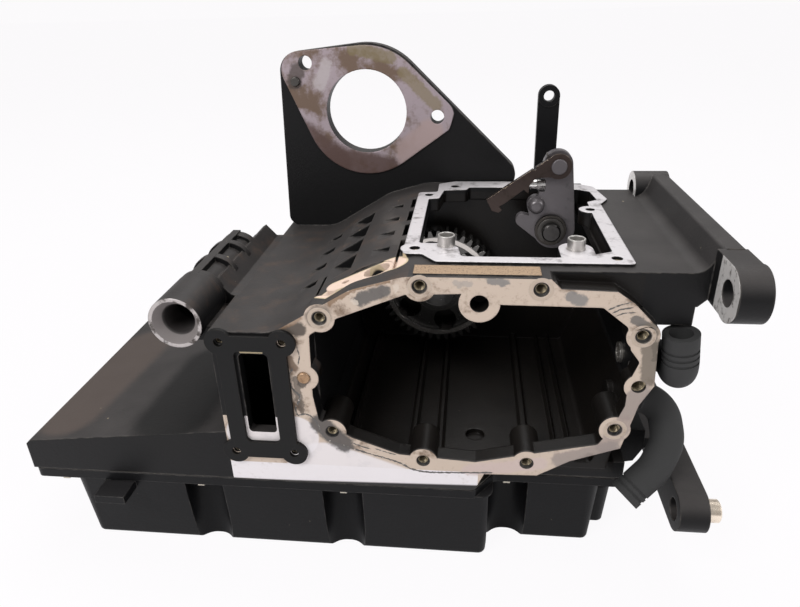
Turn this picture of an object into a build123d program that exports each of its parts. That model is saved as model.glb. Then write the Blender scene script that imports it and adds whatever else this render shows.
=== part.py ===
"""Gearbox housing of a big V-twin motorcycle, lying on its oil pan, in millimetres.

X runs towards the engine, Y away from the machined side face, Z up from the floor.
The origin lies in the plane of the pan's feet, under the middle of the pan.
"""
from build123d import *
from math import acos, atan2, cos, hypot, pi, sin
import os

os.makedirs("parts", exist_ok=True)

# Main planes of the housing
side_face_y = -105.0
far_wall_inner_y = 76.0
far_wall_y = 95.0
primary_face_y = 108.0
tank_back_y = 85.0
deck_z = 220.0
wall = 6.0

# Oil pan and the joint under the housing
pan_left_x = -204.0
pan_right_x = 212.0
pan_step_x = 112.0
pan_step = 19.0
pan_back_y = 85.0
pan_depth = 57.0
pan_flange = 7.0
pan_gasket_thickness = 1.0
pan_wall = 4.0
pan_step_run = 14.0
block_draft = 4.0
# Left, right and front of the three blocks that stand on the floor, widest first
# Left edge, right edge, front face and height of the underside of each block
pan_blocks = [(-177.0, 125.0, -104.0, 0.0), (100.0, 200.0, -84.0, 0.0), (180.0, 211.0, -74.0, 11.0)]
pan_foot_r = 4.0
bolt_pocket_r = 8.2
bolt_pocket_depth = 12.0
pan_block_back_y = 66.0
flute_width = 28.0
flute_back_y = -84.0
flute_lean = 9.0
# Middle of each bolt recess and how far it is set back
flutes = [(-79.0, 0.0), (21.0, 0.0), (135.5, 21.0)]
drain_recess_r = 14.0
drain_recess_depth = 10.0
lug_x = -141.0
lug_width = 22.0
lug_reach = 16.0
lug_height = 6.0
pan_joint_z = pan_depth + pan_flange
case_bottom_z = pan_joint_z + pan_gasket_thickness

# Machined side face: land, bolt bosses and the gear opening
land_depth = 12.0
cover_thread_d = 6.6
cover_boss_r = 9.5
cover_thread_depth = 24.0
cover_bolts = [
    (16.3, 191.8),
    (76.9, 214.0),
    (145.9, 213.5),
    (205.2, 185.3),
    (197.0, 119.1),
    (145.0, 89.6),
    (77.8, 87.7),
    (18.2, 108.2),
]
wide_bolt_place = (207.1, 151.1)
wide_thread_d = 8.5
wide_boss_r = 8.5
cover_dowel_place = (111.4, 203.8)
cover_dowel_d = 11.0
cover_dowel_depth = 14.0
cover_dowel_boss_r = 12.0
cover_pin_place = (2.9, 149.3)
cover_pin_d = 8.0
cover_pin_length = 14.0
cover_pin_stand = 1.5
compartment_left_x = 9.0
compartment_floor_z = 83.0
compartment_roof_z = 212.0
compartment_right_x = 206.0

# Oil spout face beside the gear opening
spout_x = -28.5
spout_z = 132.5
spout_spacing_x = 40.0
spout_spacing_z = 84.0
spout_thread_d = 5.0
spout_slot_width = 19.0
spout_slot_height = 60.0
spout_gasket_thickness = 2.5
spout_ear_r = 9.0
tower_left_x = -55.0

# Upper skin of the left side, from the tower up to the deck
tower_top_z = 181.0
slope_foot_x = -14.0
slope_knee_x = 36.0
slope_knee_z = 211.0
slope_head_x = 68.0
slope_round_r = 30.0
skin_left_x = -80.0
skin_thickness = 9.0
tank_crest_z = 104.5
tank_edge_z = 89.0
pocket_first_y = -50.0
pocket_pitch_y = 31.5
# Left and right edge of each column of cast pockets, their floor height and their length
pocket_columns = [
    (-10.5, 2.5, 184.0, 9.0),
    (8.5, 29.0, 196.0, 25.0),
    (40.0, 53.0, 212.4, 9.0),
    (59.5, 63.0, 209.5, 23.0),
]
groove_width = 2.0
groove_depth = 3.0
slope_grooves = [(8.5, -80.0), (59.5, -88.0)]
sensor_x = 37.5
sensor_y = -84.0
sensor_z = 210.0
sensor_span = 26.0
sensor_small_r = 7.5
sensor_big_r = 10.5
sensor_tilt = 18.6
sensor_hole_d = 17.0
sensor_screw_d = 4.5
floor_drain_place = (112.0, -68.0)
floor_drain_d = 13.0

# Swing-arm pivot beam
pivot_x = -79.0
pivot_z = 182.0
pivot_tube_r = 17.5
pivot_bore_r = 10.25
pivot_mouth_r = 15.0
pivot_mouth_depth = 7.0
pivot_front_y = -98.0
pivot_back_y = 30.0
pivot_neck_r = 13.2
pivot_ring_r = 17.3
pivot_ring_width = 6.0
pivot_rings_y = [-58.0, -27.0, 2.0]
pivot_far_boss_length = 8.0
pivot_far_boss_r = 16.0
pivot_rail_width = 6.0
pivot_web_front_y = -46.0

# Top opening
top_land_height = 2.0
top_thread_d = 6.6
top_boss_r = 9.0
top_bolts = [(71.0, -64.0), (72.5, 53.5), (92.4, 78.3), (191.3, 17.8), (191.8, -76.9)]
top_dowel_places = [(90.5, -58.0), (170.0, -62.0)]
top_dowel_d = 11.0
top_dowel_seat_d = 11.4
top_dowel_bore_d = 8.6
top_dowel_stand = 7.0
top_dowel_shoulder = 0.5
top_dowel_seat = 7.0
top_thread_depth = 8.0
number_pad_length = 73.0
number_pad_width = 13.0
number_pad_x = 109.5
number_pad_height = 1.0

# Starter flange
starter_x = 19.0
starter_z = 279.5
starter_pilot_r = 33.0
starter_plate_y = 96.0
starter_plate_thickness = 12.0
starter_rim_r = 52.5
starter_pad_height = 1.5
starter_pad_x = 17.0
starter_pad_z = 293.0
starter_pad_r = 75.0
starter_bolt_d = 11.0
starter_bolts = [(-29.0, 318.0), (77.0, 275.0)]
starter_pin_place = (-38.0, 304.0)
starter_pin_d = 6.0
starter_pin_head_d = 7.5

# Engine flange: deck wing, upper bar, lower bar and their bores
wing_thickness = 17.0
wing_front_y = -93.0
wing_back_y = 77.0
bar_inner_x = 241.0
bar_outer_x = 257.0
bar_top_z = 235.0
engine_boss_r = 16.0
engine_bore_d = 15.0
upper_boss_z = 218.5
back_boss_r = 14.0
back_boss_z = 222.0
front_boss_y = -116.0
front_boss_face_x = 241.0
front_boss_end_x = 258.0
back_boss_y = 72.0
back_boss_face_x = 231.5
lower_boss_y = -106.0
lower_boss_z = 59.0
lower_boss_r = 14.0
lower_bar_inner_x = 241.0
lower_bar_outer_x = 259.5
lower_bar_length = 160.0
lower_dowel_d = 15.0
lower_dowel_seat_d = 15.6
lower_dowel_shoulder = 0.5
lower_dowel_bore_d = 10.6
lower_dowel_stand = 9.5
lower_dowel_depth = 10.0

# Main drive gear and its bearing in the far wall
gear_x = 80.0
gear_z = 143.0
gear_teeth = 44
gear_module = 2.17
gear_front_y = 50.0
gear_width = 15.0
gear_rim = 5.0
gear_web = 7.0
gear_windows = 6
gear_window_r = 9.5
gear_window_circle_r = 32.0
gear_tooth_tip = 2.0
gear_tooth_pitch_width = 3.4
gear_tooth_root = 4.6
gear_hub_r = 19.0
gear_bore_r = 15.0
gear_sleeve_end_y = 128.0
main_bearing_od = 62.0
main_bearing_width = 16.0
main_seal_od = 54.0
main_seal_width = 8.0
snap_ring_thickness = 1.6
counter_x = 146.0
counter_z = 128.0
counter_bearing_od = 26.0
counter_bearing_id = 19.0
counter_bearing_length = 14.0

# Shift shaft, ratchet pawl and outer lever
shift_x = 168.0
shift_z = 196.0
shift_shaft_d = 14.3
shift_shaft_front_y = 38.0
shift_shaft_back_y = 122.0
bush_wall = 2.4
shift_boss_r = 17.0
shift_seal_od = 24.0
shift_seal_width = 6.0
carrier_y = 49.0
carrier_thickness = 7.0
carrier_hub_r = 13.0
carrier_hub_length = 9.6
pawl_thickness = 4.0
pawl_gap = 2.2
pawl_eye_r = 9.5
pawl_pin_rise = 50.8
pawl_pin_shift = 2.4
pawl_pin_d = 8.0
pawl_pin_head_r = 5.8
pawl_pin_head_height = 1.6
pawl_pin_head_gap = 0.2
lever_y = 111.0
lever_thickness = 6.0
lever_length = 92.0
lever_eye_r = 8.6
lever_eye_d = 8.7
lever_hub_r = 13.0
clamp_bolt_d = 5.0
clip_thickness = 1.4
stop_post_place = (156.0, 215.5)
stop_screw_z = 231.0
stop_screw_end_x = 162.0
spring_wire_d = 2.0
spring_pitch = 2.5
spring_turns = 2
spring_leg = 17.5
spring_leg_play = 0.2
spring_hub_play = 0.3
pawl_spring_wire_d = 1.6
centring_screw_d = 8.0
centring_rise = 16.0
centring_boss_height = 6.0

# Oil hoses and their nipples
hose_od = 21.0
hose_bore_d = 13.6
nipple_bore_r = 4.5
nipple_seat = 8.0
nipple_reach = 10.0
case_side_x = 212.0
upper_hose_y = -60.0
upper_hose_z = 149.0
lower_hose_y = -66.0
lower_hose_z = 118.5
hose_gap = 0.3
upper_hose_route = [
    (228.5, -97.0, 184.0),
    (233.0, -96.0, 152.0),
    (236.0, upper_hose_y, upper_hose_z),
    (case_side_x + hose_gap, upper_hose_y, upper_hose_z),
]
lower_hose_route = [
    (case_side_x + hose_gap, lower_hose_y, lower_hose_z),
    (235.0, lower_hose_y, lower_hose_z),
    (237.0, -86.0, 98.0),
    (228.0, -96.0, 83.0),
    (209.0, -105.0, 66.5),
]

# Small fasteners and clearances
pan_bolt_d = 6.0
pan_bolt_head_height = 4.5
pan_bolt_head_r = 4.6
pan_bolt_washer_r = 6.5
pan_bolt_engagement = 12.0
drain_place = (21.5, 10.0)
drain_thread_d = 12.0
drain_head_r = 7.5
drain_head_height = 6.0
running_fit = 0.05

front_pan_bolts = [(-186.0, -96.0), (-83.0, -96.0), (21.0, -96.0), (135.0, -77.0), (205.5, -73.0)]
back_pan_bolts = [(x, pan_back_y - 9.0) for x in (-186.0, -83.0, 21.0, 135.0, 205.5)]
pan_bolts_places = front_pan_bolts + back_pan_bolts
pawl_pin_x = shift_x + pawl_pin_shift
pawl_pin_z = shift_z + pawl_pin_rise
pawl_y = carrier_y - pawl_gap - pawl_thickness
top_gasket_z = deck_z + top_land_height
gear_root_r = gear_module * (gear_teeth - 2.5) / 2
gear_tooth_height = gear_module * 2.25 + 0.5
spring_mean_r = carrier_hub_r - 3.5 + spring_wire_d / 2 + spring_hub_play
spring_front_y = carrier_y + carrier_thickness + spring_wire_d / 2 + 0.6
spring_gap = centring_screw_d / 2 + spring_wire_d / 2 + spring_leg_play
spring_aim = hypot(centring_rise, spring_gap)
spring_lean = atan2(centring_rise, spring_gap) - acos(spring_mean_r / spring_aim)
spring_full_turns = spring_turns + 0.5 + spring_lean / pi
spring_seat = Plane(
    origin=(shift_x, spring_front_y, shift_z),
    x_dir=(cos(spring_lean), 0, sin(spring_lean)),
    z_dir=(0, 1, 0),
)
centring_x = shift_x
centring_z = shift_z + centring_rise
centring_tip_y = carrier_y + carrier_thickness + 1.0
hose_wall_r = hose_bore_d / 2
nipple_outline = [
    (0.0, nipple_bore_r),
    (0.0, hose_wall_r),
    (nipple_seat + nipple_reach - 2.0, hose_wall_r),
    (nipple_seat + nipple_reach, hose_wall_r - 1.0),
    (nipple_seat + nipple_reach, nipple_bore_r),
]
sensor_plane = Plane(origin=(sensor_x, sensor_y, sensor_z)).rotated((0, -sensor_tilt, 0))
sensor_small_place = (-sensor_span / 2, -3.0)
sensor_big_place = (sensor_span / 2 - 1.0, 3.0)
sensor_screw_place = (-8.0, -1.5)
lower_rise = (slope_knee_z - tower_top_z) / (slope_knee_x - slope_foot_x)
upper_rise = (deck_z - slope_knee_z) / (slope_head_x - slope_knee_x)


def side_plane(y):
    """Drawing plane of X and Z at a given Y. Its normal points at the viewer, to -Y."""
    return Plane.XZ.offset(-y)


def engine_plane(x):
    """Drawing plane of Y and Z at a given X. Its normal points to +X."""
    return Plane.YZ.offset(x)


def level(z):
    """Drawing plane of X and Y at a given height."""
    return Plane.XY.offset(z)


def slope_z(x):
    """Height of the sloping skin over the gear compartment."""
    return min(tower_top_z + lower_rise * (x - slope_foot_x), slope_knee_z + upper_rise * (x - slope_knee_x))


# The housing casting: side land, tower over the oil tank and slope share one outline
with BuildPart() as gearbox_case:
    with BuildSketch(side_plane(side_face_y)):
        with BuildLine():
            Polyline(
                (tower_left_x, case_bottom_z),
                (pan_step_x, case_bottom_z),
                (pan_step_x + 6.0, case_bottom_z + 14.0),
                (152.0, case_bottom_z + 15.0),
                (172.0, 93.0),
                (202.0, 105.0),
                (209.0, 138.0),
                (216.0, 152.0),
                (213.5, 190.0),
                (198.0, 206.0),
                (188.0, 213.0),
                (157.0, 214.0),
                (151.0, deck_z),
                (slope_head_x, deck_z),
                (slope_knee_x, slope_knee_z),
                (slope_foot_x, tower_top_z),
                (tower_left_x, tower_top_z),
                close=True,
            )
        make_face()
        fillet(vertices().filter_by_position(Axis.X, slope_foot_x - 1, slope_head_x + 1), slope_round_r)
        with Locations(cover_bolts[0], cover_bolts[3], cover_bolts[4], cover_bolts[5]):
            Circle(cover_boss_r)
    extrude(amount=-land_depth)
    # Gear compartment and tower behind the land
    with BuildSketch(side_plane(side_face_y + land_depth)):
        with BuildLine():
            Polyline(
                (tower_left_x, case_bottom_z),
                (pan_step_x, case_bottom_z),
                (pan_step_x, case_bottom_z + 13.0),
                (198.0, case_bottom_z + 13.0),
                (202.0, 105.0),
                (case_side_x, 142.0),
                (case_side_x, 188.0),
                (196.0, 205.0),
                (196.0, deck_z),
                (slope_head_x, deck_z),
                (slope_knee_x, slope_knee_z),
                (slope_foot_x, tower_top_z),
                (tower_left_x, tower_top_z),
                close=True,
            )
        make_face()
        fillet(vertices().filter_by_position(Axis.X, slope_foot_x - 1, slope_head_x + 1), slope_round_r)
    extrude(amount=-(far_wall_y - side_face_y - land_depth))
    # Foot flange on the engine side, set back like the pan under it
    with BuildSketch(level(case_bottom_z)):
        with Locations((pan_step_x - 1.0, pan_back_y)):
            Rectangle(
                pan_right_x - pan_step_x + 1.0,
                pan_back_y - side_face_y - pan_step,
                align=(Align.MIN, Align.MAX),
            )
    extrude(amount=13.5)
    # Oil tank running back under the pivot
    with BuildSketch(side_plane(side_face_y)):
        with BuildLine():
            Polyline(
                (pan_left_x, case_bottom_z),
                (tower_left_x + 1.0, case_bottom_z),
                (tower_left_x + 1.0, tank_crest_z),
                (pan_left_x + 3.0, tank_edge_z),
                (pan_left_x, tank_edge_z - 3.0),
                close=True,
            )
        make_face()
    extrude(amount=-(tank_back_y - side_face_y))
    # Face of the primary side, under the starter flange
    with BuildSketch(side_plane(far_wall_y)):
        with BuildLine():
            Polyline(
                (tower_left_x, 108.0),
                (136.0, 108.0),
                (142.0, 116.0),
                (142.0, deck_z),
                (slope_head_x, deck_z),
                (slope_knee_x, slope_knee_z),
                (slope_foot_x, tower_top_z),
                (tower_left_x, tower_top_z),
                close=True,
            )
        make_face()
        fillet(vertices().filter_by_position(Axis.X, slope_foot_x - 1, slope_head_x + 1), slope_round_r)
    extrude(amount=-(primary_face_y - far_wall_y))
    # Starter flange: a rim round the pilot hole, two bolt ears and a long foot to the deck
    with BuildSketch(side_plane(starter_plate_y)):
        with Locations((starter_x, starter_z)):
            Circle(starter_rim_r)
        with Locations((-35.0, 311.0)):
            Circle(15.5)
        with Locations((-47.0, 190.0)):
            Circle(8.0)
        with Locations((129.0, 227.0)):
            Circle(13.0)
        with Locations((starter_x, tower_top_z)):
            Rectangle(100.0, 20.0)
        make_hull()
    extrude(amount=-starter_plate_thickness)
    with BuildSketch(side_plane(starter_plate_y - starter_pad_height)):
        with Locations((starter_pad_x, starter_pad_z)):
            Circle(starter_pad_r)
        with BuildSketch(mode=Mode.INTERSECT):
            with Locations((starter_x, starter_z)):
                Circle(starter_rim_r - 1.5)
            with Locations((-34.0, 312.0)):
                Circle(15.0)
            with Locations((76.0, 275.0)):
                Circle(14.5)
            make_hull()
    extrude(amount=-starter_pad_height)
    # Web from the tower out to the pivot beam, then the beam itself
    with BuildSketch(side_plane(pivot_web_front_y)):
        with Locations((skin_left_x, tower_top_z)):
            Rectangle(tower_left_x - skin_left_x + 2.0, skin_thickness, align=(Align.MIN, Align.MAX))
        with Locations((pivot_x - 4.0, tank_crest_z - 8.0)):
            Rectangle(8.0, pivot_z - tank_crest_z, align=(Align.MIN, Align.MIN))
    extrude(amount=-(pan_back_y - 15.0 - pivot_web_front_y))
    # Skin that climbs from the tower to the right flank of the beam
    with BuildSketch(side_plane(pivot_web_front_y - 8.0)):
        with BuildLine():
            Polyline(
                (tower_left_x + 2.0, tower_top_z - skin_thickness),
                (tower_left_x + 2.0, tower_top_z),
                (tower_left_x - 3.0, tower_top_z + 1.5),
                (pivot_x + 12.0, pivot_z + 10.5),
                (pivot_x + 9.0, pivot_z + 8.5),
                (pivot_x + 9.0, tower_top_z - skin_thickness),
                close=True,
            )
        make_face()
    extrude(amount=-(pivot_back_y + 34.0 - pivot_web_front_y + 8.0))
    with BuildSketch(side_plane(pivot_front_y)):
        with Locations((pivot_x, pivot_z)):
            Circle(pivot_tube_r)
    extrude(amount=-(pivot_rings_y[0] - pivot_front_y))
    with BuildSketch(side_plane(pivot_rings_y[0])):
        with Locations((pivot_x, pivot_z)):
            Circle(pivot_neck_r)
    extrude(amount=-(pivot_back_y - pivot_rings_y[0]))
    for ring_y in pivot_rings_y:
        with BuildSketch(side_plane(ring_y)):
            with Locations((pivot_x, pivot_z)):
                Circle(pivot_ring_r)
        extrude(amount=-pivot_ring_width)
    with BuildSketch(side_plane(pivot_back_y)):
        with Locations((pivot_x, pivot_z)):
            Circle(pivot_far_boss_r)
    extrude(amount=pivot_far_boss_length)
    # Rail along the crown that ties the rings together, and the gusset that carries the mouth
    with BuildSketch(side_plane(pivot_rings_y[0])):
        with Locations((pivot_x - 1.0, pivot_z)):
            Rectangle(pivot_rail_width, pivot_ring_r, align=(Align.CENTER, Align.MIN))
    extrude(amount=-(pivot_back_y - pivot_rings_y[0]))
    with BuildSketch(side_plane(pivot_front_y + 10.0)):
        with Locations((pivot_x, pivot_z - 12.0)):
            Rectangle(tower_left_x - pivot_x + 2.0, 10.0, align=(Align.MIN, Align.CENTER))
    extrude(amount=-(pivot_web_front_y - pivot_front_y - 9.0))
    # Deck wing and upper engine bar, with the hollow that runs along the bar's foot
    with BuildSketch(side_plane(wing_front_y)):
        with BuildLine():
            Polyline(
                (190.0, deck_z - wing_thickness),
                (190.0, deck_z),
                (bar_inner_x - 5.0, deck_z),
                (bar_inner_x + 4.0, bar_top_z),
                (bar_outer_x, bar_top_z),
                (bar_outer_x, deck_z - wing_thickness + 1.0),
                (bar_inner_x, deck_z - wing_thickness + 1.0),
                (bar_inner_x - 5.0, deck_z - wing_thickness - 4.0),
                (200.0, deck_z - wing_thickness - 4.0),
                close=True,
            )
        make_face()
        fillet(vertices().sort_by(Axis.Y)[-2:], 3.0)
        wing_corners = vertices().filter_by_position(Axis.X, bar_inner_x - 5.1, bar_inner_x - 4.9)
        fillet(wing_corners.sort_by(Axis.Y)[-1:], 9.0)
    extrude(amount=-(wing_back_y - wing_front_y))
    with BuildSketch(engine_plane(bar_inner_x)):
        with Locations((front_boss_y, upper_boss_z)):
            Circle(engine_boss_r)
        with Locations((front_boss_y, upper_boss_z)):
            Rectangle(wing_front_y - front_boss_y + 1.0, engine_boss_r, align=(Align.MIN, Align.MIN))
        with Locations((front_boss_y, upper_boss_z)):
            Rectangle(wing_front_y - front_boss_y + 1.0, engine_boss_r - 1.0, align=(Align.MIN, Align.MAX))
    extrude(amount=bar_outer_x - bar_inner_x)
    with BuildSketch(engine_plane(front_boss_face_x)):
        with Locations((front_boss_y, upper_boss_z)):
            Circle(engine_boss_r)
    extrude(amount=front_boss_end_x - front_boss_face_x)
    with BuildSketch(engine_plane(back_boss_face_x)):
        with Locations((back_boss_y, back_boss_z)):
            Circle(back_boss_r)
    extrude(amount=bar_outer_x - back_boss_face_x)
    # Ribs under the wing, the front one squared off like a wall
    with BuildSketch(side_plane(wing_front_y)):
        with Locations((case_side_x - 6.0, 187.0)):
            Rectangle(29.0, 20.0, align=(Align.MIN, Align.MIN))
    extrude(amount=-8.0)
    for rib_y in (-8.0, 62.0):
        with BuildSketch(side_plane(rib_y)):
            with BuildLine():
                Polyline(
                    (case_side_x - 3.0, 150.0),
                    (bar_inner_x - 5.0, 192.0),
                    (bar_inner_x - 3.0, deck_z - wing_thickness),
                    (case_side_x - 3.0, deck_z - wing_thickness),
                    close=True,
                )
            make_face()
        extrude(amount=-6.0)
    # Lower engine bar and the shelf that joins it to the compartment wall
    with BuildSketch(engine_plane(lower_bar_inner_x)):
        with Locations((lower_boss_y + lower_bar_length / 2, lower_boss_z)):
            SlotCenterToCenter(lower_bar_length, 2 * lower_boss_r)
    extrude(amount=lower_bar_outer_x - lower_bar_inner_x)
    with BuildSketch(level(case_bottom_z)):
        with Locations((pan_right_x - 2.0, -52.0)):
            Rectangle(
                lower_bar_inner_x - pan_right_x + 4.0,
                pan_back_y + 30.0,
                align=(Align.MIN, Align.MIN),
            )
    extrude(amount=9.0)
    # Raised land round the top opening
    with BuildSketch(level(deck_z - 1.0)):
        with BuildLine():
            Polyline(
                (64.0, -74.0),
                (64.0, 60.0),
                (79.0, 62.0),
                (79.0, 86.0),
                (92.0, 93.5),
                (134.0, 93.5),
                (194.0, 85.0),
                (203.0, 78.0),
                (208.0, 44.0),
                (201.0, 31.0),
                (201.0, -86.0),
                (85.0, -86.0),
                (76.0, -74.0),
                close=True,
            )
        make_face()
        fillet(vertices(), 3.0)
        with Locations(top_bolts[0]):
            Circle(top_boss_r)
    extrude(amount=top_land_height + 1.0)
    # Bare number pad on the front edge of the deck
    with BuildSketch(level(deck_z - 1.0)):
        with Locations((number_pad_x, side_face_y + 3.0 + number_pad_width / 2)):
            Rectangle(number_pad_length, number_pad_width)
    extrude(amount=number_pad_height + 1.0)

    # Gear compartment behind the land
    with BuildSketch(side_plane(side_face_y + land_depth)):
        with BuildLine():
            Polyline(
                (compartment_left_x + 4.0, compartment_floor_z),
                (188.0, compartment_floor_z),
                (196.0, 108.0),
                (compartment_right_x, 142.0),
                (compartment_right_x, 186.0),
                (190.0, 203.0),
                (190.0, compartment_roof_z),
                (slope_head_x + 8.0, compartment_roof_z),
                (slope_head_x - 5.0, compartment_roof_z - 6.5),
                (slope_knee_x, slope_knee_z - 15.0),
                (compartment_left_x, slope_z(compartment_left_x) - 11.0),
                (compartment_left_x, 100.0),
                close=True,
            )
        make_face()
        fillet(vertices(), 4.0)
    extrude(amount=-(far_wall_inner_y - side_face_y - land_depth), mode=Mode.SUBTRACT)
    # Opening through the land, which the bolt bosses bulge into
    with BuildSketch(side_plane(side_face_y)):
        with BuildLine():
            Polyline(
                (9.0, 180.0),
                (27.0, 192.0),
                (68.0, 208.5),
                (104.0, 210.0),
                (124.0, 203.5),
                (181.0, 203.0),
                (196.0, 191.0),
                (199.5, 176.0),
                (205.5, 168.0),
                (201.0, 154.0),
                (201.0, 137.0),
                (196.0, 122.0),
                (188.0, 107.0),
                (150.0, 98.0),
                (112.0, 88.5),
                (62.0, 92.0),
                (31.0, 104.0),
                (10.0, 117.0),
                (7.5, 136.0),
                close=True,
            )
        make_face()
        fillet(vertices(), 3.0)
        with Locations(cover_bolts):
            Circle(cover_boss_r, mode=Mode.SUBTRACT)
        with Locations(wide_bolt_place):
            Circle(wide_boss_r, mode=Mode.SUBTRACT)
        with Locations(cover_dowel_place):
            Circle(cover_dowel_boss_r, mode=Mode.SUBTRACT)
        with Locations(cover_pin_place):
            Circle(cover_boss_r, mode=Mode.SUBTRACT)
    extrude(amount=-(land_depth + 1.0), mode=Mode.SUBTRACT)
    # Bolt bosses carried on into the compartment
    with BuildSketch(side_plane(side_face_y + 1.0)):
        with Locations(*cover_bolts[0:3], *cover_bolts[4:]):
            Circle(cover_boss_r)
        with Locations(cover_dowel_place):
            Circle(cover_dowel_boss_r)
        with BuildSketch(mode=Mode.INTERSECT):
            with BuildLine():
                Polyline(
                    (0.0, case_bottom_z + 1.0),
                    (case_side_x - 1.0, case_bottom_z + 1.0),
                    (case_side_x - 1.0, deck_z - 2.0),
                    (slope_head_x + 2.0, deck_z - 2.0),
                    (slope_knee_x, slope_knee_z - 2.0),
                    (0.0, slope_z(0.0) - 2.0),
                    close=True,
                )
            make_face()
    extrude(amount=-(cover_thread_depth + 4.0))
    # Low ribs that run back along the compartment floor
    for rib_x, rib_width in ((26.0, 5.0), (69.0, 4.0), (88.0, 4.0), (146.0, 5.0), (166.0, 2.0), (176.0, 2.0)):
        with BuildSketch(side_plane(side_face_y + land_depth)):
            with Locations((rib_x, compartment_floor_z - 1.0)):
                Trapezoid(rib_width + 3.0, 5.0, 65.0, align=(Align.CENTER, Align.MIN))
        extrude(amount=-(far_wall_inner_y - side_face_y - land_depth + 1.0))
    # Boss for the shift shaft, standing out of the far wall on both sides
    with BuildSketch(side_plane(far_wall_inner_y - 4.0)):
        with Locations((shift_x, shift_z)):
            Circle(shift_boss_r - 2.0)
    extrude(amount=-5.0)
    with BuildSketch(side_plane(far_wall_y - 1.0)):
        with Locations((shift_x, shift_z)):
            Circle(shift_boss_r)
    extrude(amount=-(shift_seal_width + 3.0))
    # Stiffening round the main bearing
    with BuildSketch(side_plane(far_wall_inner_y - 5.0)):
        with Locations((gear_x, gear_z)):
            Circle(main_bearing_od / 2 + 6.0)
    extrude(amount=-6.0)
    # Bosses for the two hose nipples on the engine side
    with BuildSketch(engine_plane(compartment_right_x + 1.0)):
        with Locations((upper_hose_y, upper_hose_z)):
            Circle(hose_od / 2)
        with Locations((lower_hose_y, lower_hose_z)):
            Circle(hose_od / 2)
    extrude(amount=case_side_x - compartment_right_x - 1.0)
    with BuildSketch(engine_plane(198.0)):
        with Locations((lower_hose_y, lower_hose_z)):
            Circle(hose_od / 2)
    extrude(amount=9.5)

    # Oil tank: the tower, the low part behind it and the passage between them
    with BuildSketch(level(case_bottom_z)):
        with Locations((tower_left_x + wall, side_face_y + 8.0)):
            Rectangle(-tower_left_x - wall + 2.0, 185.0, align=(Align.MIN, Align.MIN))
    extrude(amount=tower_top_z - skin_thickness - case_bottom_z, mode=Mode.SUBTRACT)
    with BuildSketch(side_plane(side_face_y + wall)):
        with BuildLine():
            Polyline(
                (pan_left_x + wall, case_bottom_z),
                (tower_left_x + wall + 1.0, case_bottom_z),
                (tower_left_x + wall + 1.0, 94.0),
                (tower_left_x - wall, tank_crest_z - wall - 1.0),
                (pan_left_x + wall, tank_edge_z - wall),
                close=True,
            )
        make_face()
    extrude(amount=-(tank_back_y - side_face_y - 2 * wall), mode=Mode.SUBTRACT)
    # Bosses in the tank walls that take the pan bolts
    with BuildSketch(level(case_bottom_z)):
        with Locations(front_pan_bolts[0], front_pan_bolts[1], back_pan_bolts[0], back_pan_bolts[1]):
            Circle(pan_bolt_washer_r + 1.0)
    extrude(amount=pan_bolt_engagement + 4.0)
    # Pockets under the compartment floor, closed by the pan
    for left, right in ((30.0, 66.0), (74.0, 124.0), (146.0, 190.0)):
        with BuildSketch(level(case_bottom_z)):
            with Locations(((left + right) / 2, -2.0)):
                RectangleRounded(right - left, 140.0, 6.0)
        extrude(amount=compartment_floor_z - case_bottom_z - wall, mode=Mode.SUBTRACT)

    # Top opening
    with BuildSketch(level(top_gasket_z)):
        with BuildLine():
            Polyline(
                (73.0, -55.0),
                (73.0, 42.0),
                (81.0, 44.0),
                (84.0, 66.0),
                (102.0, 68.0),
                (104.0, 75.0),
                (160.0, 75.0),
                (191.0, 69.0),
                (198.0, 64.0),
                (200.0, 42.0),
                (192.0, 36.0),
                (191.0, 0.0),
                (191.0, -66.0),
                (178.0, -72.0),
                (158.0, -77.0),
                (100.0, -77.0),
                (98.0, -62.0),
                (92.0, -55.0),
                close=True,
            )
        make_face()
        fillet(vertices(), 2.5)
        with Locations(top_bolts[3]):
            Circle(top_boss_r - 1.0, mode=Mode.SUBTRACT)
        with Locations(top_dowel_places[1]):
            Circle(top_dowel_d / 2 + 5.0, mode=Mode.SUBTRACT)
            Rectangle(top_dowel_d + 10.0, 20.0, align=(Align.CENTER, Align.MAX), mode=Mode.SUBTRACT)
    extrude(amount=-(top_land_height + 10.0), mode=Mode.SUBTRACT)

    # Seat boss for the centring screw, standing in the back of the opening
    with BuildSketch(side_plane(far_wall_inner_y - centring_boss_height)):
        with Locations((centring_x, centring_z)):
            Circle(centring_screw_d / 2 + 4.0)
    extrude(amount=-(centring_boss_height + 4.0))

    # Spout slot into the tank, with a shallow step above it
    with BuildSketch(side_plane(side_face_y)):
        with Locations((spout_x, spout_z + 3.0)):
            RectangleRounded(spout_slot_width, spout_slot_height, 3.0)
    extrude(amount=-10.0, mode=Mode.SUBTRACT)

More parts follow.
